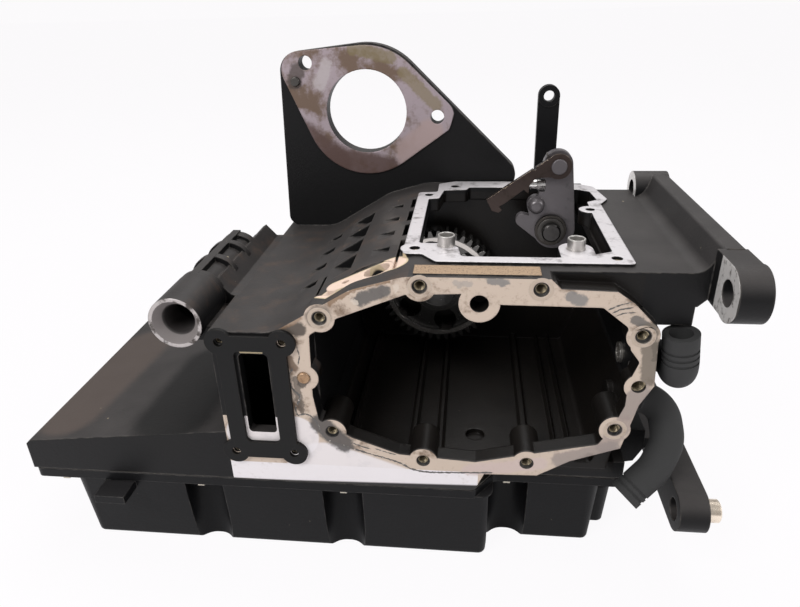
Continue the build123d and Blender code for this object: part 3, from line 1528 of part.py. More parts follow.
# Centring spring: a coil round the carrier's hub and two legs that hold the screw
with BuildPart() as spring_blank:
    with BuildLine():
        coil = Helix(pitch=spring_pitch, height=spring_full_turns * spring_pitch, radius=spring_mean_r)
        Line(coil @ 0, coil @ 0 - (coil % 0) * spring_leg)
        Line(coil @ 1, coil @ 1 + (coil % 1) * spring_leg)
    with BuildSketch(Plane(origin=coil @ 0 - (coil % 0) * spring_leg, z_dir=coil % 0)):
        Circle(spring_wire_d / 2)
    sweep()

with BuildPart() as centring_spring:
    with Locations(spring_seat.location):
        add(spring_blank.part)

centring_spring.part.label = "centring_spring"
export_step(centring_spring.part, "parts/centring_spring.step")

# Hairpin spring between the pawl and its carrier
with BuildPart() as pawl_spring:
    with BuildLine(side_plane(pawl_y + pawl_thickness + pawl_gap / 2)):
        loop = CenterArc((pawl_pin_x, pawl_pin_z), pawl_pin_d / 2 + pawl_spring_wire_d, 130.0, -290.0)
        Line(loop @ 0, loop @ 0 - (loop % 0) * 15.0)
        Line(loop @ 1, loop @ 1 + (loop % 1) * 12.0)
    with BuildSketch(Plane(origin=loop @ 0 - (loop % 0) * 15.0, z_dir=loop % 0)):
        Circle(pawl_spring_wire_d / 2)
    sweep()

pawl_spring.part.label = "pawl_spring"
export_step(pawl_spring.part, "parts/pawl_spring.step")

# Barbed metal nipples pressed into the engine side
with BuildPart() as upper_hose_nipple:
    upper_nipple_end = (case_side_x - nipple_seat, upper_hose_y, upper_hose_z)
    with BuildSketch(side_plane(upper_hose_y).shift_origin(upper_nipple_end)):
        with BuildLine():
            Polyline(*nipple_outline, close=True)
        make_face()
    revolve(axis=Axis((case_side_x, upper_hose_y, upper_hose_z), (1, 0, 0)))

upper_hose_nipple.part.label = "upper_hose_nipple"
export_step(upper_hose_nipple.part, "parts/upper_hose_nipple.step")

with BuildPart() as lower_hose_nipple:
    lower_nipple_end = (case_side_x - nipple_seat, lower_hose_y, lower_hose_z)
    with BuildSketch(side_plane(lower_hose_y).shift_origin(lower_nipple_end)):
        with BuildLine():
            Polyline(*nipple_outline, close=True)
        make_face()
    revolve(axis=Axis((case_side_x, lower_hose_y, lower_hose_z), (1, 0, 0)))

lower_hose_nipple.part.label = "lower_hose_nipple"
export_step(lower_hose_nipple.part, "parts/lower_hose_nipple.step")

# Moulded rubber elbows, cut off at their free ends, with the grooves left by their clamps
with BuildPart() as upper_oil_hose:
    with BuildLine():
        upper_hose_path = FilletPolyline(*upper_hose_route, radius=[17.0, 15.0])
    with BuildSketch(Plane(origin=upper_hose_path @ 0, z_dir=upper_hose_path % 0)):
        Circle(hose_od / 2)
        Circle(hose_bore_d / 2, mode=Mode.SUBTRACT)
    sweep()
    for groove in range(3):
        groove_start = upper_hose_path @ 0 + (upper_hose_path % 0) * (9.0 + 4.0 * groove)
        with BuildSketch(Plane(origin=groove_start, z_dir=upper_hose_path % 0)):
            Circle(hose_od / 2 + 1.0)
            Circle(hose_od / 2 - 0.7, mode=Mode.SUBTRACT)
        extrude(amount=1.6, mode=Mode.SUBTRACT)

upper_oil_hose.part.label = "upper_oil_hose"
export_step(upper_oil_hose.part, "parts/upper_oil_hose.step")

with BuildPart() as lower_oil_hose:
    with BuildLine():
        lower_hose_path = FilletPolyline(*lower_hose_route, radius=[17.0, 24.0, 30.0])
    with BuildSketch(Plane(origin=lower_hose_path @ 0, z_dir=lower_hose_path % 0)):
        Circle(hose_od / 2)
        Circle(hose_bore_d / 2, mode=Mode.SUBTRACT)
    sweep()
    for groove in range(2):
        groove_start = lower_hose_path @ 1 - (lower_hose_path % 1) * (6.0 + 4.0 * groove)
        with BuildSketch(Plane(origin=groove_start, z_dir=lower_hose_path % 1)):
            Circle(hose_od / 2 + 1.0)
            Circle(hose_od / 2 - 0.7, mode=Mode.SUBTRACT)
        extrude(amount=1.6, mode=Mode.SUBTRACT)

lower_oil_hose.part.label = "lower_oil_hose"
export_step(lower_oil_hose.part, "parts/lower_oil_hose.step")
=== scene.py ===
import logging
import math
import random
from dataclasses import dataclass
from enum import Enum

import bpy
from mathutils import Matrix, Vector


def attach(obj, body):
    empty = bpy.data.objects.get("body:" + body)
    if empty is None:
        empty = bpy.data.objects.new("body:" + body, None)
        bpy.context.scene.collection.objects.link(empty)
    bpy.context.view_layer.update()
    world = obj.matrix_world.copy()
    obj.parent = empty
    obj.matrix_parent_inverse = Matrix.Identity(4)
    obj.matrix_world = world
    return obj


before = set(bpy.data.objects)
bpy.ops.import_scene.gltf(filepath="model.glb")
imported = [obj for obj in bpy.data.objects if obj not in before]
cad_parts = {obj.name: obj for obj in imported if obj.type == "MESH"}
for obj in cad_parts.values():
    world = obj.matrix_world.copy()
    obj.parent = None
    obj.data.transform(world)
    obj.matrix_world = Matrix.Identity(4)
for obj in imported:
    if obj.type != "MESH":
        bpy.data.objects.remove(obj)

LOG = logging.getLogger("gearbox_housing")
MM = 0.001
SIDE_FACE_Y = -0.105
TOP_LAND_Z = 0.222
STARTER_PAD_Y = 0.0945
ORIGIN = (0.0, 0.0, 0.0)
UPWARDS = (0.0, 0.0, 1.0)
CUTTER_CENTRE = (0.40, 0.0, 0.30)
CAST_RELIEF = 0.00014
CRISP_EDGE = 0.08
RAGGED_EDGE = 0.4
ANY_TURN = -2.0  # Below every cosine, so faces of any direction count.
STEEL_RELIEF = 0.00003
RUBBER_RELIEF = 0.00006
SEALER_RELIEF = 0.00005

Node = bpy.types.Node
Socket = bpy.types.NodeSocket
Value = float | tuple | Socket
Place = tuple[float, float, float]
Colour = tuple[float, float, float]
Outline = tuple[tuple[float, float], ...]
Inputs = bpy.types.NodeOutputs
Sockets = dict[str, Socket]
Solid = tuple[list[Vector], list[tuple[int, ...]]]


class Body(Enum):
    """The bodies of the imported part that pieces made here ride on."""

    HOUSING = "housing"


class Facing(Enum):
    """Directions that a machined face can look in."""

    FRONT = (0.0, -1.0, 0.0)
    UP = (0.0, 0.0, 1.0)
    LEFT = (-1.0, 0.0, 0.0)
    BACK = (0.0, 1.0, 0.0)


class Wiring:
    """Adds nodes to one shader tree and joins them."""

    def __init__(self, tree: bpy.types.NodeTree) -> None:
        """Args:
            tree: The node tree to work in.
        """
        self.tree = tree

    def feed(self, socket: Socket, value: Value) -> None:
        """Links or sets one input.

        Args:
            socket: The input.
            value: Another node's output, a number or a tuple.
        """
        if isinstance(value, Socket):
            self.tree.links.new(value, socket)
        elif socket.type == "RGBA" and len(value) == 3:
            socket.default_value = (*value, 1.0)
        else:
            socket.default_value = value

    def node(self, kind: str, values: dict | None = None, **settings: object) -> Node:
        """Adds one node.

        Args:
            kind: Blender's type name of the node.
            values: Its inputs, by name or number.
            settings: Its other properties.

        Returns:
            The new node.
        """
        made = self.tree.nodes.new(kind)
        for name, setting in settings.items():
            setattr(made, name, setting)
        for key, value in (values or {}).items():
            self.feed(made.inputs[key], value)
        return made

    def effect(self, shared: "Effect", **values: Value) -> Node:
        """Places a shared effect in this tree.

        Args:
            shared: The effect.
            values: Its inputs, with a low line for each space of their names.

        Returns:
            The group node.
        """
        named = {name.replace("_", " ").capitalize(): value for name, value in values.items()}
        return self.node("ShaderNodeGroup", named, node_tree=shared.tree())

    def mask(self, shared: "Effect", **values: Value) -> Socket:
        """Returns the first output of a shared effect. Args are those of effect."""
        return self.effect(shared, **values).outputs[0]

    def place(self) -> Socket:
        """Returns the shaded point in the object's own coordinates."""
        return self.node("ShaderNodeTexCoord").outputs["Object"]

    def math(self, operation: str, a: Value, b: Value = 0.0, clamp: bool = False) -> Socket:
        """Returns the result of a Math node."""
        return self.node("ShaderNodeMath", {0: a, 1: b}, operation=operation, use_clamp=clamp).outputs[0]

    def times(self, a: Value, b: Value, clamp: bool = False) -> Socket:
        """Returns the product of two numbers."""
        return self.math("MULTIPLY", a, b, clamp)

    def plus(self, a: Value, b: Value, clamp: bool = False) -> Socket:
        """Returns the sum of two numbers."""
        return self.math("ADD", a, b, clamp)

    def minus(self, a: Value, b: Value) -> Socket:
        """Returns number a less number b."""
        return self.math("SUBTRACT", a, b)

    def vector(self, operation: str, a: Value, b: Value = ORIGIN) -> Node:
        """Returns a Vector Math node."""
        return self.node("ShaderNodeVectorMath", {0: a, 1: b}, operation=operation)

    def dot(self, a: Value, b: Value) -> Socket:
        """Returns the dot product of two vectors."""
        return self.vector("DOT_PRODUCT", a, b).outputs["Value"]

    def offset(self, a: Value, b: Value) -> Socket:
        """Returns vector a less vector b."""
        return self.vector("SUBTRACT", a, b).outputs[0]

    def scaled(self, a: Value, factor: Value) -> Socket:
        """Returns vector a times a number."""
        return self.node("ShaderNodeVectorMath", {0: a, 3: factor}, operation="SCALE").outputs[0]

    def blend(self, share: Value, a: Value, b: Value) -> Socket:
        """Returns colour a turned into colour b by a share from 0 to 1."""
        return self.node("ShaderNodeMix", {0: share, 6: a, 7: b}, data_type="RGBA").outputs[2]

    def between(self, share: Value, a: Value, b: Value) -> Socket:
        """Returns number a turned into number b by a share from 0 to 1."""
        return self.node("ShaderNodeMix", {0: share, 2: a, 3: b}, data_type="FLOAT").outputs[0]

    def ease(self, value: Value, low: Value, high: Value) -> Socket:
        """Returns 0 below low, 1 above high, and a smooth rise between them."""
        inputs = {0: value, 1: low, 2: high, 3: 0.0, 4: 1.0}
        return self.node("ShaderNodeMapRange", inputs, interpolation_type="SMOOTHSTEP").outputs[0]

    def noise(self, place: Value, scale: Value, detail: float = 3.0, rough: float = 0.55) -> Node:
        """Returns a Noise Texture node."""
        inputs = {"Vector": place, "Scale": scale, "Detail": detail, "Roughness": rough}
        return self.node("ShaderNodeTexNoise", inputs)


@dataclass(frozen=True)
class Effect:
    """A shader node group that several materials share.

    An input that starts as a tuple is a vector, and so is an output named Normal. The rest are numbers.
    """

    name: str
    inputs: tuple[tuple[str, Value], ...]
    outputs: tuple[str, ...] = ("Mask",)

    def tree(self) -> bpy.types.NodeTree:
        """Builds the group at its first use.

        Returns:
            The group's node tree.
        """
        found = bpy.data.node_groups.get(self.name)
        if found:
            return found
        made = bpy.data.node_groups.new(self.name, "ShaderNodeTree")
        for title, start in self.inputs:
            kind = "NodeSocketVector" if isinstance(start, tuple) else "NodeSocketFloat"
            made.interface.new_socket(title, in_out="INPUT", socket_type=kind).default_value = start
        for title in self.outputs:
            kind = "NodeSocketVector" if title == "Normal" else "NodeSocketFloat"
            made.interface.new_socket(title, in_out="OUTPUT", socket_type=kind)
        net = Wiring(made)
        given = net.node("NodeGroupInput").outputs
        results = self.build(net, given)
        last = net.node("NodeGroupOutput")
        for title, result in results.items():
            net.feed(last.inputs[title], result)
        return made

    def build(self, net: Wiring, given: Inputs) -> Sockets:
        """Lays out the group.

        Args:
            net: The group's tree.
            given: The group's inputs.

        Returns:
            A socket for each output name.
        """
        raise NotImplementedError


class MachinedFace(Effect):
    """Mask of the flat faces inside a box that look in one direction."""

    def build(self, net: Wiring, given: Inputs) -> Sockets:
        """Lays out the group; Args and Returns as in Effect.build."""
        coords = net.node("ShaderNodeTexCoord").outputs
        above = net.node("ShaderNodeSeparateXYZ", {0: net.offset(coords["Object"], given["Low"])}).outputs
        below = net.node("ShaderNodeSeparateXYZ", {0: net.offset(given["High"], coords["Object"])}).outputs
        least = net.math("MINIMUM", above[0], above[1])
        for side in (above[2], *below):
            least = net.math("MINIMUM", least, side)
        inside = net.math("GREATER_THAN", least, 0.0)
        turned = net.dot(coords["Normal"], given["Facing"])
        return {"Mask": net.times(inside, net.math("GREATER_THAN", turned, given["Least turn"]))}


class Stroke(Effect):
    """Mask of a straight smear between two points, as wide as wanted at each end."""

    def build(self, net: Wiring, given: Inputs) -> Sockets:
        """Lays out the group; Args and Returns as in Effect.build."""
        reach = net.offset(given["Place"], given["Start"])
        run = net.offset(given["End"], given["Start"])
        along = net.dot(reach, run)
        whole = net.dot(run, run)
        share = net.math("DIVIDE", along, whole, clamp=True)
        foot = net.scaled(run, share)
        away = net.vector("DISTANCE", reach, foot).outputs["Value"]
        radius = net.between(share, given["Start radius"], given["End radius"])
        inner = net.times(radius, net.minus(1.0, given["Softness"]))
        return {"Mask": net.minus(1.0, net.ease(away, inner, radius))}


class Band(Effect):
    """Mask of a ring round an axis."""

    def build(self, net: Wiring, given: Inputs) -> Sockets:
        """Lays out the group; Args and Returns as in Effect.build."""
        reach = net.offset(given["Place"], given["Centre"])
        flat = net.vector("MULTIPLY", reach, given["Across"]).outputs[0]
        away = net.vector("LENGTH", flat).outputs["Value"]
        edge = net.plus(given["Outer"], given["Softness"])
        outer = net.minus(1.0, net.ease(away, given["Outer"], edge))
        inner = net.ease(away, net.minus(given["Inner"], given["Softness"]), given["Inner"])
        return {"Mask": net.times(inner, outer)}


class EdgeWear(Effect):
    """Mask of rubbed outer edges and a normal with those edges rounded."""

    def build(self, net: Wiring, given: Inputs) -> Sockets:
        """Lays out the group; Args and Returns as in Effect.build."""
        place = net.place()
        flat = net.node("ShaderNodeNewGeometry").outputs["Normal"]
        rounded = net.node("ShaderNodeBevel", {"Radius": given["Radius"], "Normal": flat}, samples=6).outputs[0]
        turn = net.dot(rounded, flat)
        worn = net.ease(net.minus(1.0, turn), 0.01, 0.10)
        patches = net.ease(net.noise(place, given["Scale"], 4.0, 0.6).outputs[0], 0.35, 0.65)
        share = net.times(worn, patches)
        return {"Mask": net.times(share, given["Amount"], clamp=True), "Normal": rounded}


class CastGrain(Effect):
    """Height and tone of a cast skin under paint: fine grain on slow waves."""

    def build(self, net: Wiring, given: Inputs) -> Sockets:
        """Lays out the group; Args and Returns as in Effect.build."""
        place = net.place()
        fine = net.noise(place, given["Scale"], 2.0, 0.6).outputs[0]
        pits = {"Vector": place, "Scale": net.times(given["Scale"], 0.45)}
        cells = net.node("ShaderNodeTexVoronoi", pits, feature="SMOOTH_F1").outputs["Distance"]
        waves = net.noise(place, net.times(given["Scale"], 0.04), 3.0, 0.5).outputs[0]
        height = net.plus(net.times(fine, 0.6), net.times(cells, 0.4))
        return {"Height": net.plus(height, net.times(waves, 0.8)), "Tone": waves}


class Specks(Effect):
    """Mask of small round specks, one in some of the cells of a grid."""

    def build(self, net: Wiring, given: Inputs) -> Sockets:
        """Lays out the group; Args and Returns as in Effect.build."""
        place = net.place()
        cells = net.node("ShaderNodeTexVoronoi", {"Vector": place, "Scale": given["Scale"]})
        lot = net.node("ShaderNodeSeparateColor", {0: cells.outputs["Color"]}).outputs
        chosen = net.math("LESS_THAN", lot[0], given["Share"])
        size = net.times(given["Size"], lot[1])
        near = net.math("LESS_THAN", cells.outputs["Distance"], size)
        return {"Mask": net.times(chosen, near)}


class Grime(Effect):
    """Mask of uneven dirt, oil or stain in broad patches with broken edges."""

    def build(self, net: Wiring, given: Inputs) -> Sockets:
        """Lays out the group; Args and Returns as in Effect.build."""
        place = net.place()
        broad = net.noise(place, given["Scale"], 6.0, 0.62).outputs[0]
        edge = net.minus(0.75, net.times(given["Cover"], 0.5))
        return {"Mask": net.ease(broad, edge, net.plus(edge, given["Softness"]))}


class ToolMarks(Effect):
    """Height and tone of fine arcs that a milling cutter leaves."""

    def build(self, net: Wiring, given: Inputs) -> Sockets:
        """Lays out the group; Args and Returns as in Effect.build."""
        place = net.place()
        shift = {"Vector": place, "Location": given["Centre"]}
        moved = net.node("ShaderNodeMapping", shift, vector_type="TEXTURE").outputs[0]
        sweep = {"Vector": moved, "Scale": given["Scale"], "Distortion": 0.4, "Detail": 1.0}
        arcs = net.node("ShaderNodeTexWave", sweep, wave_type="RINGS", rings_direction="SPHERICAL").outputs["Fac"]
        scratches = net.noise(moved, net.times(given["Scale"], 5.0), 3.0, 0.7).outputs[0]
        height = net.plus(net.times(arcs, 0.5), net.times(scratches, 0.5))
        return {"Height": height, "Tone": scratches}


FACE = MachinedFace(
    "machined_face", (("Low", ORIGIN), ("High", ORIGIN), ("Facing", UPWARDS), ("Least turn", 0.97))
)
STROKE = Stroke(
    "smear_stroke",
    (
        ("Place", ORIGIN), ("Start", ORIGIN), ("End", ORIGIN),
        ("Start radius", 0.005), ("End radius", 0.005), ("Softness", 0.4),
    ),
)
BAND = Band(
    "round_band",
    (
        ("Place", ORIGIN), ("Centre", ORIGIN), ("Across", (1.0, 0.0, 1.0)),
        ("Inner", 0.0), ("Outer", 0.01), ("Softness", 0.0005),
    ),
)
WEAR = EdgeWear("edge_wear", (("Radius", 0.001), ("Scale", 120.0), ("Amount", 0.5)), ("Mask", "Normal"))
GRAIN = CastGrain("cast_grain", (("Scale", 900.0),), ("Height", "Tone"))
SPECKS = Specks("dust_specks", (("Scale", 140.0), ("Share", 0.06), ("Size", 0.12)))
GRIME = Grime("broad_grime", (("Scale", 30.0), ("Cover", 0.5), ("Softness", 0.15)))
MARKS = ToolMarks("tool_marks", (("Centre", ORIGIN), ("Scale", 300.0)), ("Height", "Tone"))


@dataclass(frozen=True)
class Finish:
    """A material of the object, with the record's slot that it belongs to and the nodes that wear it."""

    name: str
    slot: str
    nodes: str = ""

    def material(self) -> bpy.types.Material:
        """Builds the material at its first use.

        Returns:
            The material.
        """
        found = bpy.data.materials.get(self.name)
        if found:
            return found
        made = bpy.data.materials.new(self.name)
        made.use_nodes = True
        made.node_tree.nodes.clear()
        net = Wiring(made.node_tree)
        shader = net.node("ShaderNodeBsdfPrincipled")
        net.node("ShaderNodeOutputMaterial", {"Surface": shader.outputs[0]})
        self.dress(net, shader)
        return made

    def dress(self, net: Wiring, shader: Node) -> None:
        """Feeds the shader.

        Args:
            net: The material's tree.
            shader: Its Principled BSDF.
        """
        raise NotImplementedError

    def bump(self, net: Wiring, shader: Node, height: Value, depth: float, normal: Value) -> None:
        """Feeds the shader's normal with a relief.

        Args:
            net: The material's tree.
            shader: Its Principled BSDF.
            height: Relief from 0 to 1.
            depth: What a height of 1 stands for, in metres.
            normal: The normal under the relief.
        """
        relief = net.node("ShaderNodeBump", {"Strength": 1.0, "Distance": depth, "Height": height, "Normal": normal})
        net.feed(shader.inputs["Normal"], relief.outputs[0])


@dataclass(frozen=True)
class BareFace:
    """A machined face of the housing and how its bare metal looks."""

    low: Place
    high: Place
    facing: Facing
    metal: Colour
    stain: Colour
    cover: float
    scale: float = 60.0
    rough: float = 0.5
    shine: float = 0.3


@dataclass(frozen=True)
class Smear:
    """A smear on the housing."""

    start: Place
    end: Place
    radius: float
    end_radius: float
    tone: Colour
    strength: float = 0.9
    crisp: bool = False


@dataclass(frozen=True)
class BareRegion:
    """Machined faces that share one bare metal shader, with the smears on them."""

    faces: tuple[BareFace, ...]
    smears: tuple[Smear, ...] = ()


@dataclass(frozen=True)
class CastingFinish(Finish):
    """Black painted aluminium casting with bare machined faces, stains, settled dust with a painted top light, and an
    oil film with painted shade in the compartments.
    """

    paint: Colour = (0.0050, 0.0048, 0.0051)
    dust_and_top_light: Colour = (0.085, 0.077, 0.074)
    oil: Colour = (0.0038, 0.0034, 0.0032)
    rough: float = 0.46
    dust_and_top_light_share: float = 0.42
    worn: Colour = (0.16, 0.145, 0.13)
    rust: Colour = (0.10, 0.062, 0.042)
    crumbs: Colour = (0.42, 0.36, 0.25)
    shaded_oil_stain: Colour = (0.016, 0.012, 0.009)
    dusty_rough: float = 0.62
    oily_rough: float = 0.34
    gloss: float = 0.18
    shake: float = 0.006
    smears: tuple[Smear, ...] = ()
    regions: tuple[BareRegion, ...] = ()
    rooms: tuple[tuple[Place, Place], ...] = ()
    rust_low: Place = ORIGIN
    rust_high: Place = ORIGIN

    def smeared(self, net: Wiring, colour: Value, smears: tuple[Smear, ...], exact: Value, ragged: Value) -> Value:
        """Draws smears over a colour.

        Args:
            net: The material's tree.
            colour: The colour under them.
            smears: The smears, the topmost last.
            exact: The place that crisp smears are drawn in.
            ragged: The shaken place that the other smears are drawn in.

        Returns:
            The colour with the smears on it.
        """
        for smear in smears:
            place, softness = (exact, CRISP_EDGE) if smear.crisp else (ragged, RAGGED_EDGE)
            run = {"start": smear.start, "end": smear.end}
            radii = {"start_radius": smear.radius, "end_radius": smear.end_radius}
            mask = net.mask(STROKE, place=place, softness=softness, **run, **radii)
            colour = net.blend(net.times(mask, smear.strength), colour, smear.tone)
        return colour

    def bare_metal(
        self, net: Wiring, region: BareRegion, exact: Value, ragged: Value, normal: Value
    ) -> tuple[Value, Node]:
        """Makes the shader of one bare region.

        Args:
            net: The material's tree.
            region: The region.
            exact: The place that crisp smears are drawn in.
            ragged: The shaken place that the other smears are drawn in.
            normal: The normal under the tool marks.

        Returns:
            The mask of the region and its shader.
        """
        marks = net.effect(MARKS, centre=CUTTER_CENTRE, scale=60.0).outputs
        colour: Value = region.faces[0].metal
        rough: Value = region.faces[0].rough
        shine: Value = region.faces[0].shine
        bare: Value = 0.0
        for face in region.faces:
            mask = net.mask(FACE, low=face.low, high=face.high, facing=face.facing.value)
            stain = net.mask(GRIME, scale=face.scale, cover=face.cover, softness=0.16)
            tone = net.blend(stain, face.metal, face.stain)
            scratched = net.times(net.ease(marks["Tone"], 0.55, 0.75), 0.35)
            tone = net.blend(scratched, tone, face.stain)
            colour = net.blend(mask, colour, tone)
            rough = net.between(mask, rough, face.rough)
            shine = net.between(mask, shine, face.shine)
            bare = net.math("MAXIMUM", bare, mask)
        colour = self.smeared(net, colour, region.smears, exact, ragged)
        looks = {"Base Color": colour, "Roughness": rough, "Metallic": shine}
        made = net.node("ShaderNodeBsdfPrincipled", looks)
        self.bump(net, made, net.times(marks["Height"], 0.25), CAST_RELIEF, normal)
        return bare, made

    def dress(self, net: Wiring, shader: Node) -> None:
        """Feeds the shader; Args as in Finish.dress."""
        coords = net.node("ShaderNodeTexCoord").outputs
        cloud = net.noise(coords["Object"], 260.0, 4.0, 0.65).outputs["Color"]
        tints = net.node("ShaderNodeSeparateColor", {0: cloud}).outputs
        drift = net.node("ShaderNodeCombineXYZ", {0: tints[0], 1: tints[1], 2: tints[2]}).outputs[0]
        wobble = net.offset(drift, (0.5, 0.5, 0.5))
        shift = net.scaled(wobble, self.shake)
        ragged = net.vector("ADD", coords["Object"], shift).outputs[0]
        grain = net.effect(GRAIN, scale=1100.0).outputs
        wear = net.effect(WEAR, radius=0.0014, scale=150.0, amount=0.45).outputs
        # Faces that look up get a lighter film: settled dust and a painted top light.
        up = net.dot(coords["Normal"], UPWARDS)
        facing_up = net.ease(up, 0.15, 0.9)
        patchy = net.between(grain["Tone"], 0.55, 1.3)
        dust_and_top_light_mask = net.times(net.times(facing_up, patchy), self.dust_and_top_light_share, clamp=True)
        colour = net.blend(dust_and_top_light_mask, self.paint, self.dust_and_top_light)
        rough = net.between(dust_and_top_light_mask, self.rough, self.dusty_rough)
        colour = net.blend(wear["Mask"], colour, self.worn)
        if self.rust_high != self.rust_low:
            zone = net.mask(FACE, low=self.rust_low, high=self.rust_high, facing=UPWARDS, least_turn=0.3)
            stain = net.mask(GRIME, scale=55.0, cover=0.55, softness=0.3)
            colour = net.blend(net.times(net.times(zone, stain), 0.4), colour, self.rust)
        specks = net.mask(SPECKS, scale=150.0, share=0.07, size=0.11)
        colour = net.blend(net.times(specks, net.between(facing_up, 0.25, 0.9)), colour, self.crumbs)
        # Inside the compartments the colour goes to a near-black oil tone and loses the top film: an oil film and
        # painted shade of the recess.
        for low, high in self.rooms:
            mask = net.mask(FACE, low=low, high=high, least_turn=ANY_TURN)
            oily_and_shaded = net.blend(net.times(grain["Tone"], 0.35), self.oil, self.shaded_oil_stain)
            colour = net.blend(net.times(mask, 0.92), colour, oily_and_shaded)
            rough = net.between(mask, rough, self.oily_rough)
        colour = self.smeared(net, colour, self.smears, coords["Object"], ragged)
        net.feed(shader.inputs["Base Color"], colour)
        net.feed(shader.inputs["Roughness"], rough)
        net.feed(shader.inputs["Metallic"], net.times(wear["Mask"], 0.5))
        shader.inputs["Specular IOR Level"].default_value = self.gloss
        self.bump(net, shader, grain["Height"], CAST_RELIEF, wear["Normal"])
        surface = shader.outputs[0]
        output = surface.links[0].to_socket
        for region in self.regions:
            bare, metal = self.bare_metal(net, region, coords["Object"], ragged, wear["Normal"])
            layers = {0: bare, 1: surface, 2: metal.outputs[0]}
            surface = net.node("ShaderNodeMixShader", layers).outputs[0]
        net.feed(output, surface)


@dataclass(frozen=True)
class PaintFinish(Finish):
    """Satin paint with dust and a painted top light on faces that look up, rubbed edges and small specks."""

    paint: Colour = (0.0040, 0.0040, 0.0045)
    dust_and_top_light: Colour = (0.05, 0.047, 0.048)
    worn: Colour = (0.14, 0.13, 0.12)
    crumbs: Colour = (0.30, 0.27, 0.20)
    rough: float = 0.42
    grain_scale: float = 800.0
    grain_depth: float = 0.00012
    wear: float = 0.3
    dust_and_top_light_share: float = 0.25
    edge: float = 0.0012
    gloss: float = 0.15

    def dress(self, net: Wiring, shader: Node) -> None:
        """Feeds the shader; Args as in Finish.dress."""
        coords = net.node("ShaderNodeTexCoord").outputs
        grain = net.effect(GRAIN, scale=self.grain_scale).outputs
        wear = net.effect(WEAR, radius=self.edge, scale=140.0, amount=self.wear).outputs
        # Faces that look up get a lighter film: settled dust and a painted top light.
        up = net.dot(coords["Normal"], UPWARDS)
        dust_and_top_light_mask = net.times(net.ease(up, 0.1, 0.9), self.dust_and_top_light_share)
        scuffs = net.mask(GRIME, scale=70.0, cover=0.30, softness=0.25)
        dust_and_top_light_mask = net.plus(dust_and_top_light_mask, net.times(scuffs, 0.10), clamp=True)
        colour = net.blend(dust_and_top_light_mask, self.paint, self.dust_and_top_light)
        colour = net.blend(wear["Mask"], colour, self.worn)
        specks = net.mask(SPECKS, scale=190.0, share=0.05, size=0.09)
        colour = net.blend(net.times(specks, 0.5), colour, self.crumbs)
        net.feed(shader.inputs["Base Color"], colour)
        rough = net.between(grain["Tone"], self.rough - 0.06, self.rough + 0.08)
        net.feed(shader.inputs["Roughness"], rough)
        shader.inputs["Specular IOR Level"].default_value = self.gloss
        self.bump(net, shader, grain["Height"], self.grain_depth, wear["Normal"])


@dataclass(frozen=True)
class Ring:
    """A ring of its own tone on a round piece, such as a turned groove, a rubbed band or a painted highlight."""

    centre: Place
    across: Place
    inner: float
    outer: float
    tone: Colour
    rough: float = 0.25


@dataclass(frozen=True)
class SteelFinish(Finish):
    """Steel, plain or blackened, with oil stains, rubbed edges and turned rings."""

    metal: Colour = (0.45, 0.44, 0.43)
    stain: Colour = (0.20, 0.16, 0.12)
    rubbed: Colour = (0.62, 0.60, 0.57)
    rough: float = 0.32
    shine: float = 0.9
    cover: float = 0.4
    scale: float = 150.0
    wear: float = 0.6
    edge: float = 0.0005
    rings: tuple[Ring, ...] = ()

    def dress(self, net: Wiring, shader: Node) -> None:
        """Feeds the shader; Args as in Finish.dress."""
        place = net.place()
        marks = net.effect(MARKS, centre=(0.3, 0.2, 0.5), scale=90.0).outputs
        wear = net.effect(WEAR, radius=self.edge, scale=300.0, amount=self.wear).outputs
        stain = net.mask(GRIME, scale=self.scale, cover=self.cover, softness=0.3)
        colour = net.blend(stain, self.metal, self.stain)
        rough: Value = net.between(stain, self.rough, self.rough + 0.14)
        for ring in self.rings:
            sizes = {"inner": ring.inner, "outer": ring.outer}
            mask = net.mask(BAND, place=place, centre=ring.centre, across=ring.across, **sizes)
            colour = net.blend(mask, colour, ring.tone)
            rough = net.between(mask, rough, ring.rough)
        colour = net.blend(wear["Mask"], colour, self.rubbed)
        net.feed(shader.inputs["Base Color"], colour)
        net.feed(shader.inputs["Roughness"], net.between(wear["Mask"], rough, 0.22))
        shader.inputs["Metallic"].default_value = self.shine
        self.bump(net, shader, marks["Height"], STEEL_RELIEF, wear["Normal"])


@dataclass(frozen=True)
class RubberFinish(Finish):
    """Moulded rubber, glossy or dull, with scuffs and a chalky bloom."""

    rubber: Colour = (0.012, 0.012, 0.0125)
    bloom: Colour = (0.10, 0.10, 0.11)
    rough: float = 0.22
    cover: float = 0.3
    scale: float = 60.0
    bloom_share: float = 0.35
    gloss: float = 0.5

    def dress(self, net: Wiring, shader: Node) -> None:
        """Feeds the shader; Args as in Finish.dress."""
        place = net.place()
        scuffs = net.mask(GRIME, scale=self.scale, cover=self.cover, softness=0.3)
        wear = net.effect(WEAR, radius=0.0006, scale=200.0, amount=0.2).outputs
        skin = net.noise(place, 900.0, 3.0, 0.6).outputs[0]
        share = net.times(scuffs, self.bloom_share)
        colour = net.blend(share, self.rubber, self.bloom)
        colour = net.blend(wear["Mask"], colour, self.bloom)
        net.feed(shader.inputs["Base Color"], colour)
        net.feed(shader.inputs["Roughness"], net.between(scuffs, self.rough, self.rough + 0.25))
        shader.inputs["Specular IOR Level"].default_value = self.gloss
        self.bump(net, shader, skin, RUBBER_RELIEF, wear["Normal"])


